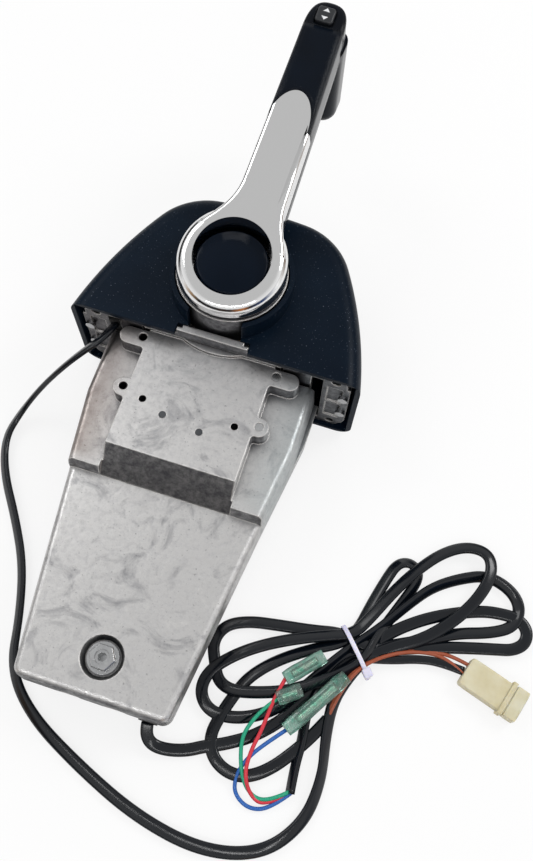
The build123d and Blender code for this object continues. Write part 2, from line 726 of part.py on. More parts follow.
with BuildPart() as arm_blank:
    with BuildSketch(lever_level(low_z)):
        add(arm_outline((middle_z - low_z) * arm_draft))
    with BuildSketch(lever_level(high_z)):
        add(arm_outline((middle_z - high_z) * arm_draft))
    loft()
    split(bisect_by=face_plane(), keep=Keep.BOTTOM)
    split(bisect_by=face_plane(arm_depth), keep=Keep.TOP)
    fillet(arm_blank.faces().sort_by(face_axis)[-1].edges(), radius=arm_edge_r)

tongue_mid, tongue_half = 2.2, 12.4

with BuildPart() as tongue_zone:
    with BuildSketch(face_plane(chrome_depth)):
        with Locations((0, tongue_shoulder_y / 2)):
            Rectangle(2 * ring_r + 8, tongue_shoulder_y)
        with Locations((tongue_mid, tongue_shoulder_y)):
            Ellipse(tongue_half, tongue_tip_y - tongue_shoulder_y)
    extrude(amount=chrome_depth + 8)

groove_low_y, groove_high_y = 36.0, 85.0      # recess beside the tongue's right shoulder
groove_x, groove_inner_x, groove_outer_x = 13.6, 13.2, 16.0
groove_depth = 5.0

tang_start, tang_end = 86.0, 136.0           # along the face
tang_half = 8.0
tang_top_drop, tang_bottom_drop = 4.5, 10.5

grip_screw_spots = [(tongue_mid, 108.0), (tongue_mid, 124.0)]  # on the lever's face
grip_screw_r = 1.8
grip_head_r, grip_head_height = 3.4, 2.5
grip_screw_bite = 4.0
ring_edge_r = 6.5

with BuildPart() as tang:
    with BuildSketch(face_plane(tang_bottom_drop)):
        with Locations((tongue_mid, (tang_start + tang_end) / 2)):
            Rectangle(2 * tang_half, tang_end - tang_start)
    extrude(amount=tang_bottom_drop - tang_top_drop)

with BuildPart() as lever_arm:
    with BuildSketch(lever_level(ring_bottom_z)):
        Circle(ring_r)
    extrude(amount=30)
    split(bisect_by=face_plane(), keep=Keep.BOTTOM)
    fillet(lever_arm.edges().group_by(Axis.Z)[-1], radius=ring_edge_r)
    fillet(lever_arm.edges().group_by(Axis.Z)[0], radius=2)
    add(arm_blank.part.intersect(tongue_zone.part))
    add(tang.part)
    with BuildSketch(face_plane(tang_bottom_drop)):
        with Locations(*grip_screw_spots):
            Circle(grip_screw_r + fit)
    extrude(amount=grip_screw_bite + 0.5, mode=Mode.SUBTRACT)
    with BuildSketch(face_plane(groove_depth)):
        with BuildLine():
            groove_middle = (groove_low_y + groove_high_y) / 2
            low_point = (groove_x, groove_low_y)
            high_point = (groove_x, groove_high_y)
            ThreePointArc(low_point, (groove_outer_x, groove_middle), high_point)
            ThreePointArc(low_point, (groove_inner_x, groove_middle), high_point)
        make_face()
    extrude(amount=groove_depth + 1, mode=Mode.SUBTRACT)
    # cup that holds the button, on the shaft's squared end
    with BuildSketch(lever_level(cup_bottom_z)):
        Circle(cup_r)
    extrude(amount=ring_bottom_z + 1 - cup_bottom_z)
    with BuildSketch(lever_level(cup_floor_z)):
        Circle(ring_bore_r)
    extrude(amount=50, mode=Mode.SUBTRACT)
    with BuildSketch(Plane.XY.offset(cup_bottom_z)):
        Rectangle(shaft_square, shaft_square)
    extrude(amount=10, mode=Mode.SUBTRACT)
save(lever_arm, "lever_arm")

seam_drop = 9.0

with BuildPart() as bezel_zone:
    with BuildSketch(face_plane(seam_drop)):
        with Locations((0, seam_y * slope_factor + 15)):
            Rectangle(2 * ring_r, 30)
    extrude(amount=seam_drop + 8)

palm_mid, palm_width, palm_depth = 2.8, 25.0, 25.0
palm_r, palm_end_r = 9.0, 7.0
palm_near_z = face_z + face_slope * palm_y - 16
switch_size = 12.0
switch_bottom_drop = 17.0

with BuildPart() as palm_bar:
    with BuildSketch(lever_level(palm_far_z)):
        with Locations((palm_mid, palm_y)):
            RectangleRounded(palm_width, palm_depth, palm_r)
    extrude(amount=palm_near_z - palm_far_z)
    fillet(palm_bar.edges().group_by(Axis.Z)[0], radius=palm_end_r)

with BuildPart() as grip:
    add(arm_blank.part)
    add(tongue_zone.part, mode=Mode.SUBTRACT)
    add(bezel_zone.part, mode=Mode.SUBTRACT)
    with BuildSketch(lever_level(ring_bottom_z - 6)):
        Circle(ring_r + 0.2)
    extrude(amount=50, mode=Mode.SUBTRACT)
    add(palm_bar.part)
    add(tang.part, mode=Mode.SUBTRACT)
    with BuildSketch(face_plane(switch_bottom_drop)):
        with Locations((rocker_x, rocker_y * slope_factor)):
            Rectangle(switch_size, switch_size)
    extrude(amount=switch_bottom_drop - seam_drop, mode=Mode.SUBTRACT)
    with BuildSketch(face_plane(arm_depth)):
        with Locations(*grip_screw_spots):
            Circle(grip_head_r)
    extrude(amount=grip_head_height, mode=Mode.SUBTRACT)
    with BuildSketch(face_plane(arm_depth)):
        with Locations(*grip_screw_spots):
            Circle(grip_screw_r)
    extrude(amount=arm_depth - tang_bottom_drop + 0.1, mode=Mode.SUBTRACT)
save(grip, "grip")

with BuildPart() as grip_screws:
    with BuildSketch(face_plane(arm_depth)):
        with Locations(*grip_screw_spots):
            Circle(grip_head_r)
    extrude(amount=grip_head_height)
    with BuildSketch(face_plane(arm_depth)):
        with Locations(*grip_screw_spots):
            Circle(grip_screw_r)
    extrude(amount=arm_depth - tang_bottom_drop + grip_screw_bite)
save(grip_screws, "grip_screws")

pocket_width, pocket_length, pocket_depth = 11.4, 11.4, 7.5
pin_half_length = pocket_width / 2 + 1.2
pin_spot = Vector(rocker_x, rocker_y + rocker_pin_drop * face_slope / slope_factor,
                  face_z + face_slope * rocker_y - rocker_pin_drop / slope_factor)
pin_plane = Plane(origin=lever_plane.from_local_coords(pin_spot), x_dir=lever_plane.y_dir, z_dir=lever_x)

with BuildPart() as switch_bezel:
    add(arm_blank.part.intersect(bezel_zone.part))
    with BuildSketch(face_plane(pocket_depth)):
        with Locations((rocker_x, rocker_y * slope_factor)):
            RectangleRounded(pocket_width, pocket_length, 2)
    extrude(amount=pocket_depth + 8, mode=Mode.SUBTRACT)
    # bearings for the rocker's pin
    with BuildSketch(pin_plane):
        Circle(rocker_pin_r)
    extrude(amount=pin_half_length, both=True, mode=Mode.SUBTRACT)
save(switch_bezel, "switch_bezel")

with BuildPart() as rocker_pin:
    with BuildSketch(pin_plane):
        Circle(rocker_pin_r)
    extrude(amount=pin_half_length, both=True)
save(rocker_pin, "rocker_pin")

rocker_width, rocker_length = 10.6, 10.0
rocker_top, rocker_bottom = 2.4, 6.0         # above the face, and below it

with BuildPart() as trim_rocker:
    with BuildSketch(face_plane(rocker_bottom)):
        with Locations((rocker_x, rocker_y * slope_factor)):
            RectangleRounded(rocker_width, rocker_length, 2)
    extrude(amount=rocker_bottom + rocker_top)
    fillet(trim_rocker.faces().sort_by(Axis.Z)[-1].edges(), radius=1.2)
    with BuildSketch(pin_plane):
        Circle(rocker_pin_r + fit)
    extrude(amount=rocker_width, both=True, mode=Mode.SUBTRACT)
save(trim_rocker, "trim_rocker")

with BuildPart() as trim_switch:
    with BuildSketch(face_plane(switch_bottom_drop)):
        with Locations((rocker_x, rocker_y * slope_factor)):
            Rectangle(switch_size - 0.2, switch_size - 0.2)
    extrude(amount=switch_bottom_drop - seam_drop)
save(trim_switch, "trim_switch")

# ---------------------------------------------------------------- throttle button
button_wall = 3.0
button_hollow_r = 17.0

with BuildPart() as throttle_button:
    with BuildSketch(Plane.XZ):
        with BuildLine():
            face = ThreePointArc((0, button_face_z + button_dome),
                                 (button_r / 2, button_face_z + 0.75 * button_dome),
                                 (button_r - 1.2, button_face_z))
            edge = TangentArc(face @ 1, (button_r, button_face_z - 1.2), tangent=face % 1)
            guide_z = button_bottom_z + 2.0
            ceiling_z = button_face_z - button_wall
            Polyline(edge @ 1, (button_r, guide_z), (button_guide_r, guide_z),
                     (button_guide_r, button_bottom_z), (button_hollow_r, button_bottom_z),
                     (button_hollow_r, ceiling_z), (0, ceiling_z), face @ 0)
        make_face()
    revolve(axis=Axis.Z)
save(throttle_button, "throttle_button")

spring_r = 12.0
spring_wire_r = 0.8
spring_turns = 4
spring_low_z = cup_floor_z + spring_wire_r + 0.1
spring_height = button_face_z - button_wall - spring_wire_r - 0.1 - spring_low_z

with BuildPart() as button_spring:
    with BuildLine(Plane.XY.offset(spring_low_z)):
        coil = Helix(spring_height / spring_turns, spring_height, spring_r)
    with BuildSketch(Plane(origin=coil @ 0, z_dir=coil % 0)):
        Circle(spring_wire_r)
    sweep(path=coil, is_frenet=True)
save(button_spring, "button_spring")

washer_r, washer_t = 9.5, 1.2
bolt_head_r, bolt_head_height = 5.5, 4.0
bolt_socket_r, bolt_socket_depth = 2.5, 2.4
bolt_length = 14.0

with BuildPart() as lever_bolt:
    with BuildSketch(Plane.XY.offset(cup_floor_z)):
        Circle(washer_r)
    extrude(amount=washer_t)
    with BuildSketch(Plane.XY.offset(cup_floor_z + washer_t)):
        Circle(bolt_head_r)
    extrude(amount=bolt_head_height)
    with BuildSketch(Plane.XY.offset(cup_floor_z + washer_t + bolt_head_height)):
        RegularPolygon(bolt_socket_r, 6, major_radius=False)
    extrude(amount=-bolt_socket_depth, mode=Mode.SUBTRACT)
    with BuildSketch(Plane.XY.offset(cup_floor_z)):
        Circle(bolt_hole_r - fit)
    extrude(amount=-bolt_length)
save(lever_bolt, "lever_bolt")

# ---------------------------------------------------------------- neutral switch and cable clamp
neutral_switch_y = 28.0
neutral_switch_length, neutral_switch_width, neutral_switch_height = 20.0, 10.0, 10.0
plunger_x, plunger_width, plunger_height = -4.0, 3.0, 4.0
neck_ceiling_z = neck_front_z - neck_end_wall

with BuildPart() as neutral_switch:
    with BuildSketch(Plane.XY.offset(neck_ceiling_z - neutral_switch_height)):
        with Locations((0, neutral_switch_y)):
            Rectangle(neutral_switch_length, neutral_switch_width)
    extrude(amount=neutral_switch_height)
    with BuildSketch(Plane.XY.offset(neck_ceiling_z - 7)):
        with Locations((plunger_x, neutral_switch_y - neutral_switch_width / 2)):
            Rectangle(plunger_width, 5)
    extrude(amount=plunger_height)
save(neutral_switch, "neutral_switch")

clamp_length, clamp_width, clamp_height = 44.0, 18.0, 6.0
clamp_groove_r = 5.5

with BuildPart() as cable_clamp:
    with BuildSketch(Plane.XY.offset(parting_z + 1)):
        with Locations((nut_x, nut_y)):
            RectangleRounded(clamp_length, clamp_width, 4)
            Circle(clamp_post_r + 0.2, mode=Mode.SUBTRACT)
    extrude(amount=clamp_height)
    with BuildSketch(Plane.XZ.offset(-nut_y)):
        with Locations((nut_x - cable_x, parting_z), (nut_x + cable_x, parting_z)):
            Circle(clamp_groove_r)
    extrude(amount=clamp_width, both=True, mode=Mode.SUBTRACT)
save(cable_clamp, "cable_clamp")

# ---------------------------------------------------------------- leads
lead_clip_x = cover_x - gap_x
lead_clip_z = 52.0
lead_clip_length = 14.0

with BuildPart() as lead_clip:
    with BuildSketch(underside):
        with Locations((lead_clip_x, lead_clip_z)):
            Rectangle(gap_width, lead_clip_length)
    extrude(amount=-frame_t)
save(lead_clip, "lead_clip")

with BuildPart() as lead_grommet:
    with BuildSketch(Plane.XZ.offset(-housing_bottom_y)):
        with Locations((lead_exit_x, lead_exit_z)):
            Circle(grommet_r)
    extrude(amount=-wall)
save(lead_grommet, "lead_grommet")


def cord_radii(points):
    """The largest even bend at each inner point of a cord's route."""
    radii = []
    for before, point, after in zip(points, points[1:], points[2:]):
        run_in = Vector(point) - Vector(before)
        run_out = Vector(after) - Vector(point)
        half_turn = math.radians(run_in.get_angle(run_out)) / 2
        radii.append(0.45 * min(run_in.length, run_out.length) / math.tan(half_turn))
    return radii


def cord(name, points, r):
    """A round cord along a route of points, written to parts/."""
    radii = cord_radii(points)
    with BuildPart() as tube:
        with BuildLine() as route:
            FilletPolyline(*points, radius=radii)
        with BuildSketch(Plane(origin=route.line @ 0, z_dir=route.line % 0)):
            Circle(r)
        sweep(path=route.line)
    length = sum(edge.length for edge in route.edges())
    print(name, "length", round(length, 1), "smallest radius", round(min(radii), 1),
          "volume against section times length", round(tube.part.volume / (math.pi * r ** 2 * length), 3))
    save(tube, name)


on_table = lead_r + 0.05
trim_lead_route = [
    (lead_clip_x, frame_y, lead_clip_z + 3), (-62.5, -48.5, 56.5), (-70.5, -57.5, 53.5),
    (-83.5, -68.0, 41.0), (-98.0, -78.5, 21.0), (-108.0, -91.0, 6.0), (-111.5, -108.0, on_table),
    (-103.0, -129.0, on_table), (-85.5, -153.0, on_table), (-70.5, -177.0, on_table),
    (-60.5, -205.0, on_table), (-54.0, -233.5, on_table), (-33.0, -254.0, on_table),
    (2.0, -270.5, on_table), (40.0, -284.5, on_table), (78.0, -290.0, on_table),
    (109.0, -282.0, on_table), (126.0, -261.0, on_table), (129.0, -236.5, on_table),
    (124.5, -214.0, on_table)]
cord("lead_a", trim_lead_route, lead_r)

neutral_lead_route = [
    (lead_exit_x, housing_bottom_y, lead_exit_z), (30.6, -243.5, 7.6), (35.5, -248.0, 5.0),
    (44.0, -248.0, on_table), (54.5, -245.0, on_table), (63.0, -240.0, on_table)]
cord("lead_b", neutral_lead_route, lead_r)

hank_height = 8.0
hank_outline = [
    (118.0, -154.5), (100.0, -159.5), (83.0, -161.5), (62.0, -166.5), (51.5, -176.0), (48.0, -190.0),
    (48.0, -212.0), (55.0, -222.0), (61.5, -233.5), (64.5, -246.5), (73.0, -252.0), (86.5, -252.5),
    (101.5, -245.0), (108.5, -228.5), (118.5, -228.5), (119.0, -214.0), (130.0, -214.0), (131.5, -198.0),
    (138.5, -178.0), (150.0, -165.5), (163.0, -160.5), (163.0, -153.0), (179.0, -148.0), (203.0, -141.5),
    (220.0, -134.5), (222.0, -123.5), (213.5, -115.0), (210.5, -105.5), (199.0, -96.5), (191.0, -88.5),
    (179.0, -83.0), (164.0, -88.0), (146.0, -105.0), (131.5, -131.0)]
tie_start, tie_end = (118.0, -155.5), (137.5, -177.0)
tie_half_length = math.dist(tie_start, tie_end) / 2 + 2.0
tie_width = 2.6
tie_t = 1.2
tie_height = hank_height + 1.0
tie_head_size = 5.0
tie_plane = Plane(origin=((tie_start[0] + tie_end[0]) / 2, (tie_start[1] + tie_end[1]) / 2, 0),
                  x_dir=(tie_end[0] - tie_start[0], tie_end[1] - tie_start[1], 0), z_dir=(0, 0, 1))
tie_section = Plane(origin=tie_plane.origin, x_dir=tie_plane.x_dir, z_dir=-tie_plane.y_dir)

with BuildPart() as cable_tie:
    with BuildSketch(tie_section):
        with Locations((0, tie_height / 2)):
            RectangleRounded(2 * tie_half_length, tie_height, 3)
            RectangleRounded(2 * (tie_half_length - tie_t), tie_height - 2 * tie_t, 2,
                             mode=Mode.SUBTRACT)
    extrude(amount=tie_width / 2, both=True)
    with BuildSketch(tie_plane.offset(tie_height - tie_t)):
        with Locations((tie_half_length - tie_head_size, 0)):
            Rectangle(tie_head_size, tie_head_size)
    extrude(amount=4.0)
save(cable_tie, "cable_tie")

with BuildPart() as hank:
    with BuildSketch(Plane.XY):
        with BuildLine():
            Polyline(*hank_outline, close=True)
        make_face()
    extrude(amount=hank_height)
    add(cable_tie.part, mode=Mode.SUBTRACT)
save(hank, "hank")

tail_route = [(113.5, -228.5, on_table), (113.0, -238.0, on_table), (114.6, -248.8, on_table)]
cord("lead_a_tail", tail_route, lead_r)
connector_route = [(163.0, -156.8, on_table), (176.0, -156.0, 3.6), (189.3, -157.4, 4.6)]
connector_lead_r = 2.6
cord("connector_lead", connector_route, connector_lead_r)

# connector at the end of the neutral switch's lead
connector_centre = (206.3, -162.4)
connector_turn = -17.2      # degrees
connector_length, connector_width, connector_height = 36.5, 17.0, 9.0
band_x, band_length, band_rise = 8.5, 3.0, 1.5          # the raised band round it
mouth_inset, mouth_depth = 3.0, 9.0
connector_plane = Plane.XY.move(Location(connector_centre)).rotated((0, 0, connector_turn))
mouth_centre = connector_plane.from_local_coords((connector_length / 2, 0, connector_height / 2))
mouth_plane = Plane(origin=mouth_centre, x_dir=connector_plane.y_dir, z_dir=connector_plane.x_dir)

with BuildPart() as connector:
    with BuildSketch(connector_plane):
        RectangleRounded(connector_length, connector_width, 1)
    extrude(amount=connector_height)
    with BuildSketch(connector_plane):
        with Locations((band_x, 0)):
            Rectangle(band_length, connector_width + 2 * band_rise)
    extrude(amount=connector_height + band_rise)
    with BuildSketch(mouth_plane):
        Rectangle(connector_width - mouth_inset, connector_height - mouth_inset)
    extrude(amount=-mouth_depth, mode=Mode.SUBTRACT)
save(connector, "connector")

# bullet connectors on the hank, under clear sleeves
sleeve_width, sleeve_height = 8.7, 6.0
sleeve_ends = {
    "sleeve_a": ((94.2, -193.0), (111.2, -174.6)),
    "sleeve_b": ((93.2, -204.7), (104.6, -195.8)),
    "sleeve_c": ((102.8, -218.8), (126.0, -181.5)),
}
for sleeve_name, (start, end) in sleeve_ends.items():
    sleeve_plane = Plane(origin=(start[0], start[1], hank_height + sleeve_height / 2),
                         z_dir=(end[0] - start[0], end[1] - start[1], 0),
                         x_dir=(start[1] - end[1], end[0] - start[0], 0))
    with BuildPart() as sleeve:
        with BuildSketch(sleeve_plane):
            RectangleRounded(sleeve_width, sleeve_height, 2.9)
        extrude(amount=math.dist(start, end))
    save(sleeve, sleeve_name)
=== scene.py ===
"""Looks of a top-mount boat throttle control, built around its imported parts.

Sizes are written in millimetres, measured from the hub axis as the drawings do, and become
metres in the row frame through row(). X is fore and aft, Y runs up the lever, Z is up.
"""

import logging
import math
from dataclasses import dataclass
from enum import Enum
from functools import cached_property
from typing import Optional, Sequence, Union

import bpy
import numpy as np
from mathutils import Matrix, Vector


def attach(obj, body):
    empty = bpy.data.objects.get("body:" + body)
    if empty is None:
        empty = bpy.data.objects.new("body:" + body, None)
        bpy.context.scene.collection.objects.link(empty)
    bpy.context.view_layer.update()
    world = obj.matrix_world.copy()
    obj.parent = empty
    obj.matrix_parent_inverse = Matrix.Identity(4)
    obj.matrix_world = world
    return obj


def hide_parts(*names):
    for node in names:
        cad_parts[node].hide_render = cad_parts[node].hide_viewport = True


LOG = logging.getLogger("throttle_control")
MM = 0.001
HUB = (-1.5, 39.9)          # hub axis in the row frame, mm
FOCAL_PX = 950.0
IMAGE_HEIGHT = 861
SENSOR_MM = 36.0

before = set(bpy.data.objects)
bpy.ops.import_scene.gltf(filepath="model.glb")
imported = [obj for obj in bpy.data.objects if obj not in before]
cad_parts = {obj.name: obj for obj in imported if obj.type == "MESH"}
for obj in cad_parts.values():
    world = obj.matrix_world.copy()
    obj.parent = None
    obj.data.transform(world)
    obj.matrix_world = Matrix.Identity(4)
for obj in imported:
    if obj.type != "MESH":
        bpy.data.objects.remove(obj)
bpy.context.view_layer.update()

Point = tuple[float, float, float]
Pair = tuple[float, float]
Colour = tuple[float, float, float, float]
Socket = bpy.types.NodeSocket

NOISE = "ShaderNodeTexNoise"
RAMP = "ShaderNodeValToRGB"
MATH = "ShaderNodeMath"
SPLIT = "ShaderNodeSeparateXYZ"
MAP_RANGE = "ShaderNodeMapRange"
MIX = "ShaderNodeMix"
MIX_UNDER, MIX_OVER, MIX_RESULT = 6, 7, 2     # the colour sockets of a mix node
BEVEL_SAMPLES = 4


def row(points: Union[np.ndarray, Sequence[Point]]) -> np.ndarray:
    """Points measured from the hub axis in mm, as metres in the row frame.

    Args:
        points: x, y, z in mm along the last axis.

    Returns:
        An array of the same shape in metres.
    """
    return (np.asarray(points, float) + (HUB[0], HUB[1], 0.0)) * MM


def linear(code: str) -> Colour:
    """The linear colour of an sRGB hex code.

    Args:
        code: six hex digits after a hash sign.

    Returns:
        Red, green, blue and an alpha of 1.
    """
    values = [int(code[i:i + 2], 16) / 255 for i in (1, 3, 5)]
    red, green, blue = (v / 12.92 if v <= 0.04045 else ((v + 0.055) / 1.055) ** 2.4 for v in values)
    return (red, green, blue, 1.0)


# ---------------------------------------------------------------------------------- materials
@dataclass(frozen=True)
class Canvas:
    """A node tree under work, with the shader that it feeds."""

    tree: bpy.types.NodeTree
    shader: bpy.types.Node

    def add(self, kind: str, inputs: Optional[dict[object, object]] = None,
            stops: Sequence[tuple[float, Colour]] = (), output: Union[int, str] = 0,
            **settings: object) -> Socket:
        """Adds one node, with its settings, values and links.

        Args:
            kind: the node's type name.
            inputs: input name or number to a value or to the output it is linked from.
            stops: for a colour ramp, its positions from 0 to 1 with their linear colours.
            output: name or number of the output to return.
            **settings: the node's own properties.

        Returns:
            The new node's output.
        """
        made = self.tree.nodes.new(kind)
        for key, value in settings.items():
            setattr(made, key, value)
        for key, value in (inputs or {}).items():
            if isinstance(value, Socket):
                self.tree.links.new(value, made.inputs[key])
            else:
                made.inputs[key].default_value = value
        for index, (position, colour) in enumerate(stops):
            elements = made.color_ramp.elements
            element = elements[index] if index < 2 else elements.new(position)
            element.position = position
            element.color = colour
        return made.outputs[output]

    @cached_property
    def place(self) -> Socket:
        """The piece's own coordinates, in metres."""
        return self.add("ShaderNodeTexCoord", output="Object")

    def cells(self, size_mm: float, detail: float) -> dict[object, object]:
        """The inputs of a noise on the piece whose cells are size_mm across."""
        return {"Vector": self.place, "Scale": per_metre(size_mm), "Detail": detail}

    def layers(self, under: Socket, *layers: tuple[Socket, Union[Socket, Colour]]) -> Socket:
        """Lays colours over a colour, one after the other.

        Args:
            under: the lowest colour.
            *layers: the share of each, from 0 to 1, and its colour.

        Returns:
            The colour output.
        """
        for share, over in layers:
            under = self.add(MIX, {0: share, MIX_UNDER: under, MIX_OVER: over}, output=MIX_RESULT,
                             data_type="RGBA")
        return under

    def feed(self, name: str, source: Socket) -> None:
        """Links an output to the shader's input of that name."""
        self.tree.links.new(source, self.shader.inputs[name])


def grey(value: float) -> Colour:
    """A linear grey, for ramps that carry a number."""
    return (value, value, value, 1.0)


def greys(*stops: Pair) -> list[tuple[float, Colour]]:
    """Ramp stops that carry numbers, from pairs of a position and its number."""
    return [(position, grey(value)) for position, value in stops]


def tones(*stops: tuple[float, str]) -> list[tuple[float, Colour]]:
    """Ramp stops that carry colours, from pairs of a position and an sRGB hex code."""
    return [(position, linear(code)) for position, code in stops]


def per_metre(size_mm: float) -> float:
    """The noise scale, on coordinates in metres, whose cells are size_mm across."""
    return 1000.0 / size_mm


@dataclass(frozen=True)
class Finish:
    """A finish with its shader's plain numbers; subclasses add the pattern.

    Attributes:
        name: the material's name.
        colour: sRGB hex of the body colour.
        roughness: of the bare surface.
        metallic: 0 or 1.
        ior: of the body, where it isn't a metal.
        edge_mm: how far a sharp edge looks rounded, as a tumbled or moulded one is.
    """

    name: str
    colour: str
    roughness: float = 0.4
    metallic: float = 0.0
    ior: float = 1.5
    edge_mm: float = 0.4

    def material(self) -> bpy.types.Material:
        """Builds the material, once.

        Returns:
            The material, which is the earlier one where it was built before.
        """
        known = bpy.data.materials.get(self.name)
        if known:
            return known
        made = bpy.data.materials.new(self.name)
        made.use_nodes = True
        canvas = Canvas(made.node_tree, made.node_tree.nodes["Principled BSDF"])
        inputs = canvas.shader.inputs
        inputs["Base Color"].default_value = linear(self.colour)
        inputs["Roughness"].default_value = self.roughness
        inputs["Metallic"].default_value = self.metallic
        if not self.metallic:
            inputs["IOR"].default_value = self.ior
        self.pattern(canvas)
        made.diffuse_color = linear(self.colour)
        return made

    def pattern(self, canvas: Canvas) -> None:
        """Adds the finish's own colour, roughness and relief.

        Args:
            canvas: the material's nodes.
        """

    def uneven(self, canvas: Canvas, factor: Socket, low: Pair, high: Pair) -> None:
        """Lets the roughness run between shares of the bare one, each with its place on the factor."""
        stops = greys(*((position, self.roughness * share) for position, share in (low, high)))
        canvas.feed("Roughness", canvas.add(RAMP, {0: factor}, stops))

    def bump(self, canvas: Canvas, height: Socket, depth_mm: float, strength: float,
             below: Optional[Socket] = None) -> Socket:
        """Adds a relief to the shader's normal.

        Args:
            canvas: the material's nodes.
            height: the relief, from 0 to 1.
            depth_mm: what 1 stands for.
            strength: of the whole effect.
            below: a normal that this one is added to; without it, that of the rounded edges.

        Returns:
            The normal output.
        """
        if below is None:
            below = canvas.add("ShaderNodeBevel", {"Radius": self.edge_mm * MM}, samples=BEVEL_SAMPLES)
        normal = canvas.add("ShaderNodeBump", {"Height": height, "Distance": depth_mm * MM,
                                               "Strength": strength, "Normal": below})
        canvas.feed("Normal", normal)
        return normal

    def score(self, canvas: Canvas, where: Socket, scale: Point, depth_mm: float, strength: float) -> None:
        """Adds a relief of long lines: a noise drawn out by the scales along its three axes."""
        drawn = canvas.add("ShaderNodeMapping", {"Vector": where, "Scale": scale})
        self.bump(canvas, canvas.add(NOISE, {"Vector": drawn, "Scale": 1.0, "Detail": 2.0}),
                  depth_mm, strength)


@dataclass(frozen=True)
class MouldedPlastic(Finish):
    """Injection-moulded plastic or rubber: an even skin with a fine spark-eroded grain."""

    light: str = "#2a3140"
    grain_mm: float = 0.9       # the real grain is about 0.1 mm, too fine to show
    cloud_mm: float = 45.0
    relief_mm: float = 0.02
    speck: float = 0.0
    dust: str = "#8a93a3"

    def pattern(self, canvas: Canvas) -> None:
        """A faint cloud in the colour and gloss, a fine grain, and pale specks of dust.

        Args:
            canvas: the material's nodes.
        """
        cloud = canvas.add(NOISE, canvas.cells(self.cloud_mm, 4.0))
        grain = canvas.add(NOISE, canvas.cells(self.grain_mm, 2.0))
        colour = canvas.add(RAMP, {0: cloud}, tones((0.3, self.colour), (0.75, self.light)))
        if self.speck:
            specks = canvas.add(RAMP, {0: grain}, greys((0.68, 0.0), (0.76, self.speck)))
            colour = canvas.layers(colour, (specks, linear(self.dust)))
        canvas.feed("Base Color", colour)
        self.uneven(canvas, cloud, (0.3, 0.88), (0.7, 1.15))
        self.bump(canvas, grain, self.relief_mm, 0.6)


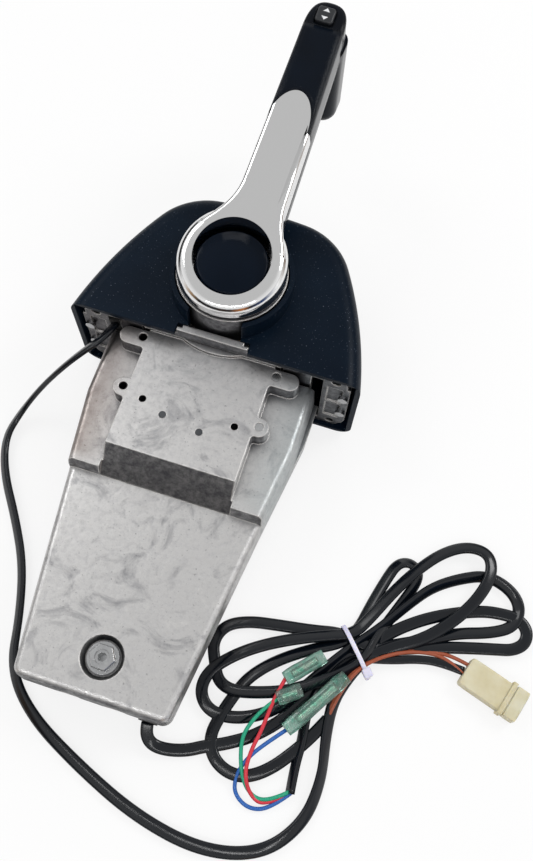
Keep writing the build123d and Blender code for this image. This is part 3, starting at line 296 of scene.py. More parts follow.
@dataclass(frozen=True)
class CastAluminium(Finish):
    """Die-cast aluminium, tumbled: grey, mottled with flow marks, pitted, with painted highlights along its
    edges.

    Each pair of positions runs from where a painted reflection tint or the painted dark reflection starts to
    where it is full.
    """

    dark: str = "#8f8f92"
    light: str = "#e9e7e4"
    # painted reflections of the room: warm on the left flank, cool on the right
    painted_warm_reflection: str = "#7d6a60"
    painted_cool_reflection: str = "#a9b5b7"
    # painted highlight laid along the edges
    bright: str = "#f6f4f0"
    # colour of the pits, of the painted shade in inner corners and of the painted dark reflection on
    # down-facing slopes
    pits_and_painted_shade: str = "#45464b"
    flow_mm: float = 24.0
    flow_depth_mm: float = 0.5
    mottle_mm: float = 4.0
    mottle_depth_mm: float = 0.22
    pit_mm: float = 1.6
    # how far from an edge the painted highlight reaches
    painted_highlight_mm: float = 1.3
    # reach of the painted shade in inner corners
    corner_mm: float = 7.0
    left_mm: Pair = (-37.0, -56.0)      # X of the painted warm reflection
    right_mm: Pair = (36.0, 58.0)       # X of the painted cool reflection
    upper_mm: Pair = (-84.0, -74.0)     # Y of both
    root_mm: Pair = (-55.0, 6.0)        # Y of the darker body near the hub
    steep: Pair = (-0.62, -0.78)        # Y share of the outward direction, for the painted dark reflection on down-facing slopes

    def pattern(self, canvas: Canvas) -> None:
        """Flow marks, a finer mottle and pits, with painted reflections on the flanks, painted highlights on
        the edges, painted shade in the corners and a painted dark reflection on down-facing slopes.

        Args:
            canvas: the material's nodes.
        """
        flow = canvas.add(NOISE, canvas.cells(self.flow_mm, 7.0) | {"Roughness": 0.66, "Distortion": 1.4})
        mottle = canvas.add(NOISE, canvas.cells(self.mottle_mm, 6.0) | {"Roughness": 0.75})
        pits = canvas.add(NOISE, canvas.cells(self.pit_mm, 3.0))
        body = canvas.add(RAMP, {0: flow}, tones((0.28, self.dark), (0.47, self.colour),
                                                 (0.62, self.colour), (0.78, self.light)))
        for factor, stops, over in ((mottle, ((0.36, 0.35), (0.54, 0.0)), self.dark),
                                    (mottle, ((0.58, 0.0), (0.74, 0.5)), self.light),
                                    (pits, ((0.28, 0.5), (0.35, 0.0)), self.pits_and_painted_shade)):
            body = canvas.layers(body, (canvas.add(RAMP, {0: factor}, greys(*stops)), linear(over)))
        canvas.feed("Base Color", self.edges(canvas, self.flanks(canvas, body), mottle))
        self.uneven(canvas, mottle, (0.3, 1.3), (0.7, 0.75))
        soft = self.bump(canvas, flow, self.flow_depth_mm, 0.4)
        self.bump(canvas, mottle, self.mottle_depth_mm, 0.5, soft)

    def flanks(self, canvas: Canvas, body: Socket) -> Socket:
        """A painted warm reflection on the left flank, a painted cool one on the right, and a darker body
        near the hub.

        Args:
            canvas: the material's nodes.
            body: the colour below.

        Returns:
            The colour output.
        """
        axes = canvas.add(SPLIT, {0: canvas.place}).node.outputs
        left, right, upper, root = (
            canvas.add(MAP_RANGE, {0: axes[axis], 1: start * MM, 2: full * MM})
            for axis, (start, full) in (("X", self.left_mm), ("X", self.right_mm),
                                        ("Y", self.upper_mm), ("Y", self.root_mm)))
        # Painted reflections: warm on the left flank, cool on the right, both only from Y -84 mm up.
        warm_reflection_share = canvas.add(MATH, {0: left, 1: upper}, operation="MULTIPLY")
        cool_reflection_share = canvas.add(MATH, {0: right, 1: upper}, operation="MULTIPLY")
        for factor, most, over in ((warm_reflection_share, 0.6, self.painted_warm_reflection), (cool_reflection_share, 0.45, self.painted_cool_reflection), (root, 0.42, self.dark)):
            share = canvas.add(RAMP, {0: factor}, greys((0.0, 0.0), (1.0, most)))
            body = canvas.layers(body, (share, linear(over)))
        return body

    def edges(self, canvas: Canvas, body: Socket, mottle: Socket) -> Socket:
        """Painted highlights on the edges, painted shade in the inner corners, and a painted dark reflection
        on the steep faces that look down the body.

        An edge is where the rounded outward direction leaves the true one.

        Args:
            canvas: the material's nodes.
            body: the colour below.
            mottle: the pattern that makes the painted dark reflection patchy.

        Returns:
            The colour output.
        """
        shape = canvas.add("ShaderNodeNewGeometry", output="True Normal")
        rounded = canvas.add("ShaderNodeBevel", {"Radius": self.painted_highlight_mm * MM}, samples=BEVEL_SAMPLES)
        match = canvas.add("ShaderNodeVectorMath", {0: shape, 1: rounded}, output="Value",
                           operation="DOT_PRODUCT")
        # Painted shade: ambient occlusion darkens the colour in inner corners.
        shut = canvas.add("ShaderNodeAmbientOcclusion", {"Distance": self.corner_mm * MM}, output="AO",
                          samples=6)
        # Painted dark reflection: faces that look down the body, towards -Y, are darkened in patches.
        facing = canvas.add(SPLIT, {0: shape}, output="Y")
        down = canvas.add(MAP_RANGE, {0: facing, 1: self.steep[0], 2: self.steep[1]})
        patchy = canvas.add(MAP_RANGE, {0: mottle, 1: 0.35, 2: 0.62, 3: 0.9, 4: 0.6})
        painted_dark_reflection = canvas.add(MATH, {0: down, 1: patchy}, operation="MULTIPLY")
        corner = canvas.add(RAMP, {0: shut}, greys((0.35, 0.85), (0.82, 0.0)))
        # Painted highlight: edges, where the rounded direction leaves the true one, are lightened.
        painted_edge_highlight = canvas.add(RAMP, {0: match}, greys((0.84, 0.75), (0.985, 0.0)))
        pits_and_painted_shade, bright = linear(self.pits_and_painted_shade), linear(self.bright)
        # Lays on the painted dark reflection, the painted corner shade and the painted edge highlight.
        return canvas.layers(body, (painted_dark_reflection, pits_and_painted_shade), (corner, pits_and_painted_shade), (painted_edge_highlight, bright))


@dataclass(frozen=True)
class Plated(Finish):
    """Polished plating over a casting: mirror-bright, with a slight ripple from the polishing wheel."""

    ripple_mm: float = 30.0
    ripple_depth_mm: float = 0.12
    haze_mm: float = 6.0

    def pattern(self, canvas: Canvas) -> None:
        """A long ripple in the relief and faint hazing in the gloss.

        Args:
            canvas: the material's nodes.
        """
        self.uneven(canvas, canvas.add(NOISE, canvas.cells(self.haze_mm, 4.0)), (0.35, 0.6), (0.75, 1.6))
        ripple = canvas.add(NOISE, canvas.cells(self.ripple_mm, 1.0))
        self.bump(canvas, ripple, self.ripple_depth_mm, 0.5)


@dataclass(frozen=True)
class MachinedSteel(Finish):
    """Turned or milled metal: fine tool lines that stretch the highlight."""

    line_mm: float = 0.5        # the real lines are about 0.1 mm apart, too fine to show
    line_length_mm: float = 12.0
    line_depth_mm: float = 0.02
    stain_mm: float = 5.0

    def pattern(self, canvas: Canvas) -> None:
        """Tool lines across Z, and a little staining.

        Args:
            canvas: the material's nodes.
        """
        self.uneven(canvas, canvas.add(NOISE, canvas.cells(self.stain_mm, 4.0)), (0.3, 0.8), (0.7, 1.3))
        length = per_metre(self.line_length_mm)
        scale = (length, length, per_metre(self.line_mm))
        self.score(canvas, canvas.place, scale, self.line_depth_mm, 0.5)


@dataclass(frozen=True)
class PvcSheath(Finish):
    """Extruded PVC: glossy, with faint lengthways drawing lines and finger dulling."""

    line_length_mm: float = 40.0
    lines_across: float = 14.0
    line_depth_mm: float = 0.08
    dull_mm: float = 15.0

    def pattern(self, canvas: Canvas) -> None:
        """Lines along the cord from its UV map, and dull patches.

        Args:
            canvas: the material's nodes.
        """
        self.uneven(canvas, canvas.add(NOISE, canvas.cells(self.dull_mm, 4.0)), (0.35, 0.75), (0.7, 1.4))
        flat = canvas.add("ShaderNodeUVMap", uv_map="UVMap")
        scale = (per_metre(self.line_length_mm), self.lines_across, 1.0)
        self.score(canvas, flat, scale, self.line_depth_mm, 0.4)


@dataclass(frozen=True)
class CloudyNylon(Finish):
    """Natural nylon: milky, slightly see-through, yellowed with age."""

    deep: str = "#cdbb84"
    soak_mm: float = 2.0
    age_mm: float = 12.0
    grain_mm: float = 0.7
    grain_depth_mm: float = 0.03

    def pattern(self, canvas: Canvas) -> None:
        """Uneven yellowing, light soaking in, and a faint moulding grain.

        Args:
            canvas: the material's nodes.
        """
        age = canvas.add(NOISE, canvas.cells(self.age_mm, 3.0))
        canvas.feed("Base Color", canvas.add(RAMP, {0: age}, tones((0.3, self.colour), (0.75, self.deep))))
        canvas.shader.inputs["Subsurface Weight"].default_value = 0.5
        canvas.shader.inputs["Subsurface Scale"].default_value = self.soak_mm * MM
        canvas.shader.inputs["Subsurface Radius"].default_value = (1.0, 0.85, 0.6)
        self.bump(canvas, canvas.add(NOISE, canvas.cells(self.grain_mm, 2.0)), self.grain_depth_mm, 0.4)


@dataclass(frozen=True)
class ClearSleeve(Finish):
    """Soft clear PVC sleeve: see-through, tinted, wavy inside."""

    pale: str = "#e8f1ea"
    clearness: float = 0.75
    wave_mm: float = 3.0
    wave_depth_mm: float = 0.3

    def pattern(self, canvas: Canvas) -> None:
        """See-through, with a wave in its wall.

        Args:
            canvas: the material's nodes.
        """
        canvas.shader.inputs["Transmission Weight"].default_value = self.clearness
        wave = canvas.add(NOISE, canvas.cells(self.wave_mm, 2.0))
        canvas.feed("Base Color", canvas.add(RAMP, {0: wave}, tones((0.3, self.colour), (0.8, self.pale))))
        self.bump(canvas, wave, self.wave_depth_mm, 0.6)


class Material(Enum):
    """The finishes of the control's pieces."""

    # Moulded ABS from a spark-eroded tool: navy, soft in its shine, with dust in its grain.
    COVER = MouldedPlastic("moulded_abs_cover", "#06111d", 0.36, ior=1.18, light="#0b1927",
                           relief_mm=0.035, speck=0.5)
    # The same ABS from polished tools: smooth and glossy, its edges catching long highlights.
    BUTTON = MouldedPlastic("polished_abs_button", "#040c17", 0.2, ior=1.18, light="#07111e",
                            relief_mm=0.006)
    GRIP = MouldedPlastic("glossy_abs_grip", "#030810", 0.1, ior=1.24, light="#06101d", relief_mm=0.006,
                          edge_mm=5.0)
    BEZEL = MouldedPlastic("glossy_abs_bezel", "#04070d", 0.12, ior=1.24, light="#070c15",
                           relief_mm=0.006, edge_mm=2.0)
    ROCKER = MouldedPlastic("satin_abs_rocker", "#15171b", 0.38, light="#1d2025", grain_mm=0.5)
    # Pressed phenolic: brown-black and dull.
    SWITCH = MouldedPlastic("phenolic_switch", "#15120f", 0.5, light="#221c17", grain_mm=0.5)
    # Die-cast and tumbled: mottled grey, with painted highlights on its edges and painted shade in its
    # hollows and on its down-facing slopes.
    CASTING = CastAluminium("die_cast_aluminium", "#cfcecd", 0.4, metallic=1.0, edge_mm=1.1)
    # Electroplated over a polished casting: a mirror with wide, soft edge lines.
    CHROME = Plated("chrome_plate", "#dededc", 0.05, metallic=1.0, edge_mm=3.2)
    # Turned, drawn or sintered metals: plain shine with tool lines.
    STEEL = MachinedSteel("machined_steel", "#8f9194", 0.3, metallic=1.0)
    DARK_STEEL = MachinedSteel("dark_spring_steel", "#55575a", 0.4, metallic=1.0)
    STAINLESS = MachinedSteel("stainless_steel", "#b9babb", 0.26, metallic=1.0)
    BRONZE = MachinedSteel("sintered_bronze", "#a2814e", 0.42, metallic=1.0)
    TIN = MachinedSteel("tinned_brass", "#c9c7bd", 0.25, metallic=1.0)
    # Extruded PVC: a wet-looking black on the leads, plainer colours on the wires.
    SHEATH = PvcSheath("black_pvc_sheath", "#080d14", 0.15, ior=1.45)
    GREEN = PvcSheath("green_pvc_wire", "#16a07a", 0.35)
    RED = PvcSheath("red_pvc_wire", "#d3303f", 0.35)
    BLUE = PvcSheath("blue_pvc_wire", "#1f5fb0", 0.35)
    BROWN = PvcSheath("brown_pvc_wire", "#9a4a2c", 0.35)
    # Moulded rubber: black without shine.
    RUBBER = MouldedPlastic("black_rubber", "#121212", 0.6, light="#1c1c1c", grain_mm=0.6)
    # Natural nylon, moulded: milky, and yellow where it has aged.
    TIE = CloudyNylon("white_nylon_tie", "#e6e4f2", 0.35, deep="#cfcde4", soak_mm=1.0)
    PLUG = CloudyNylon("natural_nylon_plug", "#d8d2b8", 0.42, deep="#c3b78c")
    # Dipped clear PVC: green-tinted, with the metal showing through.
    SLEEVE = ClearSleeve("clear_pvc_sleeve", "#8fe3cb", 0.1, clearness=0.85)
    # Pad-printed ink: flat white.
    MARK = MouldedPlastic("white_marking_ink", "#e9eaec", 0.5, light="#d9dbde", grain_mm=0.5, relief_mm=0.004)


NODE_FINISHES: dict[Material, tuple[str, ...]] = {
    Material.COVER: ("top_cover",),
    Material.CASTING: ("base_frame", "housing_front", "housing_back"),
    Material.STEEL: ("lever_shaft", "drive_gear", "shift_sector", "throttle_sector", "sector_pivot",
                     "rocker_pin", "button_spring", "lever_bolt", "cable_clamp"),
    Material.DARK_STEEL: ("dowel_pins",),
    Material.BRONZE: ("front_bush", "rear_bush"),
    Material.STAINLESS: ("housing_screws", "frame_bolts", "cover_screws", "flange_nut", "clamp_stud",
                         "grip_screws"),
    Material.CHROME: ("lever_arm",),
    Material.GRIP: ("grip",),
    Material.BEZEL: ("switch_bezel",),
    Material.SWITCH: ("trim_switch", "neutral_switch"),
    Material.BUTTON: ("throttle_button",),
    Material.ROCKER: ("trim_rocker",),
    Material.RUBBER: ("lead_clip", "lead_grommet"),
}


def dress_nodes(nodes: dict[str, bpy.types.Object]) -> None:
    """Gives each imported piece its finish.

    Args:
        nodes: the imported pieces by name.
    """
    for finish, names in NODE_FINISHES.items():
        for name in names:
            for holder in nodes[name].material_slots:
                holder.material = finish.value.material()
            LOG.info("finish %s on %s", finish.value.name, name)


# ---------------------------------------------------------------------------------- surfaces
def placed(name: str, data: bpy.types.ID) -> bpy.types.Object:
    """Puts a new object in the scene.

    Args:
        name: its name.
        data: what it shows.

    Returns:
        The new object.
    """
    made = bpy.data.objects.new(name, data)
    bpy.context.scene.collection.objects.link(made)
    return made


def surface(name: str, grid: np.ndarray, finish: Material, caps: bool = True, body: str = "housing",
            length: Optional[np.ndarray] = None) -> bpy.types.Object:
    """Makes a smooth mesh from a grid of points, rows along u and columns that close round v.

    Each quad joins two neighbouring points of a row to the same two of the next row.

    Args:
        name: the piece's name.
        grid: points in metres, shape (rows, columns, 3).
        finish: its material.
        caps: whether both end rings are filled, each by a fan about its middle.
        body: the body that it rides on.
        length: distance along the piece of each row, for its UV map, in metres.

    Returns:
        The new object.
    """
    rows, columns = grid.shape[:2]
    points = grid.reshape(-1, 3)
    start = np.arange(rows - 1)[:, None] * columns
    column = np.arange(columns)[None, :]
    following = (column + 1) % columns
    faces = np.stack([start + column, start + following, start + columns + following,
                      start + columns + column], axis=-1).reshape(-1, 4).tolist()
    if caps:
        middles = np.stack([grid[0].mean(axis=0), grid[-1].mean(axis=0)])
        first, last = len(points), len(points) + 1
        points = np.vstack([points, middles])
        ring, after = column[0], following[0]
        near = np.stack([after, ring, np.full(columns, first)], axis=1)
        far = np.stack([ring, after, np.full(columns, last)], axis=1)
        far[:, :2] += (rows - 1) * columns
        faces += near.tolist() + far.tolist()
    mesh = bpy.data.meshes.new(name)
    mesh.from_pydata(points.tolist(), [], faces)
    mesh.polygons.foreach_set("use_smooth", np.ones(len(mesh.polygons), bool))
    along = np.zeros(len(points))
    around = np.zeros(len(points))
    along[:rows * columns] = np.repeat(np.linspace(0, 0.1, rows) if length is None else length, columns)
    around[:rows * columns] = np.tile(np.abs(np.linspace(-1, 1, columns)), rows)
    layer = mesh.uv_layers.new(name="UVMap")
    corner = np.zeros(len(mesh.loops), np.int32)
    mesh.loops.foreach_get("vertex_index", corner)
    layer.data.foreach_set("uv", np.stack([along[corner], around[corner]], axis=1).ravel())
    mesh.materials.append(finish.value.material())
    mesh.validate()
    mesh.update()
    made = placed(name, mesh)
    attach(made, body)
    return made


def smooth_route(points: np.ndarray, resolution: int = 10) -> np.ndarray:
    """Points along the NURBS spline that has the given control points.

    Args:
        points: control points in metres.
        resolution: steps from one control point to the next.

    Returns:
        The spline's own points, as rows.
    """
    curve = bpy.data.curves.new("route", "CURVE")
    curve.dimensions = "3D"
    curve.resolution_u = resolution
    spline = curve.splines.new("NURBS")
    spline.points.add(len(points) - 1)
    spline.points.foreach_set("co", np.hstack([points, np.ones((len(points), 1))]).ravel())
    spline.order_u = 3
    spline.use_endpoint_u = True
    holder = placed("route", curve)
    bpy.context.view_layer.update()
    mesh = bpy.data.meshes.new_from_object(holder)
    line = np.zeros(len(mesh.vertices) * 3)
    mesh.vertices.foreach_get("co", line)
    bpy.data.objects.remove(holder)
    bpy.data.curves.remove(curve)
    bpy.data.meshes.remove(mesh)
    return line.reshape(-1, 3)


def distances(line: np.ndarray) -> np.ndarray:
    """Distance along a line of points, from its start, at each point."""
    return np.concatenate([[0.0], np.cumsum(np.linalg.norm(np.diff(line, axis=0), axis=1))])


def swept_grid(line: np.ndarray, section: np.ndarray, lean: np.ndarray) -> np.ndarray:
    """A profile carried along a line.

    The profile's first axis starts level, square to the line, and turns by lean about it.

    Args:
        line: points along the path, in metres.
        section: profile points, two columns, in metres.
        lean: turn about the path at each point, in radians.

    Returns:
        A grid with one ring per point of the line.
    """
    tangent = np.gradient(line, axis=0)
    tangent /= np.linalg.norm(tangent, axis=1, keepdims=True)
    level = np.cross(np.array([0.0, 0.0, 1.0]), tangent)
    level /= np.maximum(np.linalg.norm(level, axis=1, keepdims=True), 1e-9)
    rise = np.cross(tangent, level)
    turn = lean[:, None]
    first = level * np.cos(turn) + rise * np.sin(turn)
    second = rise * np.cos(turn) - level * np.sin(turn)
    return (line[:, None, :] + section[None, :, 0, None] * first[:, None, :]
            + section[None, :, 1, None] * second[:, None, :])


def oval(width_mm: float, height_mm: float, squareness: float = 1.0, count: int = 18) -> np.ndarray:
    """A rounded profile: an ellipse whose sines and cosines are raised to 1 / squareness.

    Args:
        width_mm: size along the first axis.
        height_mm: size along the second axis.
        squareness: 1 for an ellipse, more for flatter sides.
        count: number of points.

    Returns:
        Profile points in metres.
    """
    angle = np.linspace(0, 2 * math.pi, count, endpoint=False)
    cosine, sine = np.cos(angle), np.sin(angle)
    power = 1 / squareness
    return np.stack([width_mm / 2 * np.sign(cosine) * np.abs(cosine) ** power,
                     height_mm / 2 * np.sign(sine) * np.abs(sine) ** power], axis=1) * MM


# ---------------------------------------------------------------------------------- leads
@dataclass
class Lead:
    """A lead or wire: one smooth route with a flat or round sheath.

    Attributes:
        name: the piece's name.
        points: control points in mm from the hub axis.
        finish: its material.
        width: of the sheath, mm.
        thickness: of the sheath, mm.
        leans: turn of the flat side from level, in degrees, as (share of the points, degrees).
        line: points of the centreline in metres, once it is built.
    """

    name: str
    points: list[Point]
    finish: Material = Material.SHEATH
    width: float = 7.0
    thickness: float = 3.3
    leans: tuple[Pair, ...] = ((0.0, 0.0), (1.0, 0.0))
    line: Optional[np.ndarray] = None

    def build(self) -> bpy.types.Object:
        """Makes the sheath along its route.

        Returns:
            The new object.
        """
        self.line = smooth_route(row(self.points))
        share = np.linspace(0, 1, len(self.line))
        lean = np.radians(np.interp(share, [s for s, _ in self.leans], [d for _, d in self.leans]))
        flat_sided = 1.5 if self.width > self.thickness else 1.0
        grid = swept_grid(self.line, oval(self.width, self.thickness, flat_sided), lean)
        made = surface(self.name, grid, self.finish, length=distances(self.line))
        LOG.info("lead %s, %.3f m", self.name, self.length)
        return made

    @property
    def length(self) -> float:
        """Length of the centreline, in metres."""
        return float(distances(self.line)[-1])


# Routes in mm from the hub axis. Each lead runs from its exit to its turns in the hank.
TRIM_LEAD_ROUTE: list[Point] = [
    (-59.5, -37, 55), (-62.5, -48.5, 56.5), (-70.5, -57.5, 53.5), (-83.5, -68, 41), (-98, -78.5, 21),
    (-108, -91, 6), (-111.5, -108, 3.2), (-103, -129, 3.2), (-85.5, -153, 3.2), (-70.5, -177, 3.2),
    (-60.5, -205, 3.2), (-54, -233.5, 3.2), (-33, -254, 3.2), (2, -270.5, 3.2), (40, -284.5, 3.2),
    (78, -290, 3.2), (109, -282, 3.2), (126, -261, 3.2), (129, -236.5, 3.2), (124.5, -214, 3.2),
    (123, -196, 4), (127, -182, 5), (133, -169, 5), (144, -159, 5), (162, -148, 6), (176, -133, 7),
    (186, -117, 8), (191, -100, 8), (187, -88, 7), (174, -87, 6), (160, -96, 6), (147, -113, 7),
    (138, -129, 7), (131, -144, 7), (124, -157, 6), (111, -162, 7), (93, -170, 8), (75, -180, 8),
    (61, -191, 7), (52, -202, 5), (51, -213, 4), (58, -221, 3.3), (70, -222, 3.3), (84, -217, 3.3),
    (97, -207, 4), (106, -193, 5), (116, -177, 6), (126, -163, 5), (138, -148, 5), (150, -130, 5),
    (160, -117, 5), (174, -107, 4.5), (189, -100, 4), (204, -104, 4), (212, -113, 3.5), (210, -125, 3.5),
    (198, -132, 3.5), (180, -138, 4), (162, -148, 4), (146, -156, 4), (132, -163, 3.5), (121, -169, 3.5),
    (114, -182, 3.5), (111, -195, 4), (111, -208, 4), (113, -222, 3.3), (113, -235, 3.3),
    (114.6, -248.8, 3.3),
]
NEUTRAL_LEAD_ROUTE: list[Point] = [
    (30, -238, 9), (30.6, -243.5, 7.6), (35.5, -248, 5), (44, -248, 3.2), (54.5, -245, 3.2),
    (63, -240, 3.2), (74, -235, 3.3), (88, -226, 3.3), (101, -212, 3.5), (108, -199, 3.5), (115, -184, 3.5),
    (124, -169, 3.5), (136, -158, 3.3), (148, -145, 3.3), (166, -132, 3.3), (190, -121, 3.3),
    (205, -118.8, 3.3), (213, -119.5, 3.3), (218.5, -124.5, 3.3), (218.5, -132, 3.3), (212.5, -137.5, 3.3),
    (203, -140, 3.3), (188, -144, 3.3), (168, -150, 3.3), (150, -157, 3.3), (136, -162, 5), (118, -158, 4),
    (101, -162, 4), (81, -165, 3.3), (65, -168, 3.3), (53, -174, 3.3), (49, -185, 3.3), (54, -196, 4),
    (59, -205, 6), (68, -208, 8), (81, -205, 9), (97, -199, 9), (112, -189, 9), (124, -180, 8),
    (134, -169, 7), (138, -151, 4), (145, -133, 3.5), (151.3, -115.5, 3.3), (149.5, -108.8, 3.3),
    (143.3, -106.3, 3.3), (137, -109.7, 3.3), (133.3, -121, 3.3), (129, -138, 3.3), (126, -153, 3.3),
    (120, -163, 4), (104, -172, 5), (87, -184, 5), (75, -197, 5), (70, -209, 5), (66, -222, 3.5),
    (64, -234, 3.3), (69, -244, 3.3), (79, -249, 3.3), (90, -248, 3.3), (101, -240, 3.3), (111, -227, 3.3),
    (118, -216, 3.3), (123, -206, 3.3),
]
GREEN_WIRE_ROUTE: list[Point] = [
    (114, -248, 3.9), (106, -255, 3), (97, -257, 2), (89, -251, 5), (84, -241, 8), (81, -229, 9),
    (84, -219, 10), (89, -210, 10), (93.4, -204.5, 11),
]
RED_WIRE_ROUTE: list[Point] = [
    (114.6, -248, 3), (104, -259, 1.5), (94, -256, 3), (88, -246, 8), (88, -234, 9.5), (90, -224, 10),
    (91, -213, 10.5), (92, -203, 11), (94.4, -192.8, 11),
]
BLUE_WIRE_ROUTE: list[Point] = [
    (115.3, -248, 3.3), (107, -259, 1.3), (96, -263, 1.3), (86, -258, 1.3), (84, -249, 4), (87, -239, 8),
    (94, -229, 9.5), (103, -218.5, 11),
]
BROWN_WIRE_ROUTES: list[list[Point]] = [
    [(122.6, -206.4, 3.6), (124, -196, 7), (128, -182, 10), (134, -172, 8), (143, -164, 7), (155, -157, 5),
     (170, -153, 4), (181, -155, 4.5), (189, -159, 5)],
    [(121.6, -207, 3.2), (123, -197, 6), (126, -185, 9), (132, -173, 7), (142, -165, 6), (154, -156, 4),
     (171, -152, 4), (182, -151.5, 4.5), (192.6, -154, 5)],
]
BLACK_WIRE_ROUTE: list[Point] = [
    (134, -168, 6), (146, -165, 4.5), (163, -158.5, 3.3), (176, -156.5, 3.6), (188.5, -157.6, 4.6),
]


# A block's rings: shares of its height, and how far each is drawn in, in mm.
BLOCK_LEVELS = (-0.5, -0.5, -0.46, -0.38, 0.38, 0.46, 0.5, 0.5)
BLOCK_INSETS = (1.2, 0.5, 0.14, 0.0, 0.0, 0.14, 0.5, 1.2)


@dataclass
class Wiring:
    """The two leads, their wires, the tie round them, the plug and the bullet sleeves.

    Sizes are in mm, and places are x and y from the hub axis.
    """

    wire_d: float = 2.2
    hank_height: float = 8.0
    sleeve_width: float = 8.7
    sleeve_height: float = 6.0
    sleeve_rings: int = 24
    sleeve_ends: tuple[tuple[Pair, Pair], ...] = (((94.2, -193.0), (111.2, -174.6)),
                                                  ((93.2, -204.7), (104.6, -195.8)),
                                                  ((102.8, -218.8), (126.0, -181.5)))
    bullet_d: float = 4.0
    tie_width: float = 2.6
    tie_thickness: float = 1.2
    tie_start: Pair = (118.0, -155.5)
    tie_end: Pair = (137.5, -177.0)
    tie_reach: float = 2.0          # past the outer strands
    tie_rise: float = 1.0           # over the strands
    tie_bulge: float = 1.6          # more, at the middle of the top
    tie_power: float = 0.55
    head_size: Point = (5.4, 5.0, 4.2)
    head_inset: float = 2.6
    head_rise: float = 2.6
    plug_place: Pair = (206.3, -162.4)
    plug_turn_deg: float = -17.2

    def build(self) -> None:
        tie = self.tie()
        plug = self.plug()
        trim = Lead("trim_lead", TRIM_LEAD_ROUTE,
                    leans=((0.0, 45.0), (0.05, 52.0), (0.15, 50.0), (0.19, 20.0), (0.235, 10.0), (0.27, 50.0),
                           (0.3, 20.0), (0.38, 5.0), (0.46, 30.0), (0.6, 12.0), (0.72, 55.0), (0.85, 20.0),
                           (1.0, 60.0)))
        neutral = Lead("neutral_lead", NEUTRAL_LEAD_ROUTE,
                       leans=((0.0, 0.0), (0.1, 10.0), (0.3, 5.0), (0.45, 15.0), (0.62, 40.0), (0.8, 30.0),
                              (1.0, 5.0)))
        trim_sheath = trim.build()
        neutral_sheath = neutral.build()
        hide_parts("lead_a", "hank", "lead_a_tail")
        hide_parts("lead_b")
        for number, route in enumerate(BROWN_WIRE_ROUTES, 1):
            self.wire(f"brown_wire_{number}", route, Material.BROWN)
        black = Lead("plug_lead", BLACK_WIRE_ROUTE, width=5.0, thickness=2.8)
        black_sheath = black.build()
        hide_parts("connector_lead")
        sleeves = self.sleeves()
        self.wire("green_wire", GREEN_WIRE_ROUTE, Material.GREEN)
        self.wire("red_wire", RED_WIRE_ROUTE, Material.RED)
        self.wire("blue_wire", BLUE_WIRE_ROUTE, Material.BLUE)

    def wire(self, name: str, route: list[Point], finish: Material) -> None:
        """Makes one thin wire along its route."""
        lead = Lead(name, route, finish, self.wire_d, self.wire_d)
        lead.build()

    def tie(self) -> bpy.types.Object:
        """The strap: a flat band round the hank's waist, with its head, as one mesh.

        The band's path is a superellipse in the upright plane across the waist, lifted at its top.

        Returns:
            The strap.
        """
        start, end = np.array(self.tie_start), np.array(self.tie_end)
        span = float(np.linalg.norm(end - start))
        middle, across = (start + end) / 2, (end - start) / span
        half = span / 2 + self.tie_reach - self.tie_thickness / 2
        height = (self.hank_height + self.tie_rise - self.tie_thickness) / 2
        angle = np.linspace(0, 2 * math.pi, 72, endpoint=False)
        cosine, sine = np.cos(angle), np.sin(angle)
        out = half * np.sign(cosine) * np.abs(cosine) ** self.tie_power
        up = height * np.sign(sine) * np.abs(sine) ** self.tie_power
        bulge = self.tie_bulge * np.maximum(sine, 0) ** 2
        points = np.stack([middle[0] + across[0] * out, middle[1] + across[1] * out,
                           height + self.tie_thickness / 2 + up + bulge], axis=1)
        along = np.array([-across[1], across[0], 0.0])
        outward = np.stack([across[0] * cosine, across[1] * cosine, sine], axis=1)
        section = oval(self.tie_thickness, self.tie_width, 2.2, 12) / MM
        grid = (points[:, None, :] + section[None, :, 0, None] * outward[:, None, :]
                + section[None, :, 1, None] * along[None, None, :])
        band = surface("cable_tie_band", row(np.concatenate([grid, grid[:1]])), Material.TIE, caps=False)
        x, y = middle + across * (half - self.head_inset)
        head = self.block("cable_tie_head", (x, y, self.hank_height + self.head_rise),
                          math.atan2(across[1], across[0]), self.head_size, Material.TIE)
        joined = join([band, head], "cable_tie_strap")
        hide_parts("cable_tie")
        return joined

    def block(self, name: str, centre: Point, turn: float, size: Point, finish: Material,
              squareness: float = 3.5) -> bpy.types.Object:
        """A box with round edges: a stack of rounded rings, drawn in at its two ends.

        Args:
            name: the piece's name.
            centre: its middle, in mm.
            turn: of its long side from X, in radians.
            size: length, width and height in mm.
            finish: its material.
            squareness: how square its plan is.

        Returns:
            The new object.
        """
        plan = oval(size[0], size[1], squareness, 40) / MM
        level = np.array(BLOCK_LEVELS) * size[2]
        scale = 1 - np.array(BLOCK_INSETS)[:, None] / (np.array(size[:2]) / 2)[None, :]
        flat = plan[None, :, :] * scale[:, None, :]
        cosine, sine = math.cos(turn), math.sin(turn)
        grid = np.stack([centre[0] + flat[..., 0] * cosine - flat[..., 1] * sine,
                         centre[1] + flat[..., 0] * sine + flat[..., 1] * cosine,
                         centre[2] + np.repeat(level[:, None], plan.shape[0], axis=1)], axis=-1)
        return surface(name, row(grid), finish)

    def plug(self) -> bpy.types.Object:
        """The nylon plug: a body, a stepped collar and a skirt, as one mesh.

        Returns:
            The plug.
        """
        turn = math.radians(self.plug_turn_deg)
        parts = []
        for name, along, z, size in (("plug_body", 0.0, 4.6, (36.5, 17.0, 9.0)),
                                     ("plug_collar", 8.5, 5.3, (3.0, 20.0, 10.4)),
                                     ("plug_skirt", 14.2, 4.9, (7.6, 18.6, 9.6))):
            centre = (self.plug_place[0] + along * math.cos(turn),
                      self.plug_place[1] + along * math.sin(turn), z)
            parts.append(self.block(name, centre, turn, size, Material.PLUG, 7))
        joined = join(parts, "plug_shell")
        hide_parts("connector")
        return joined

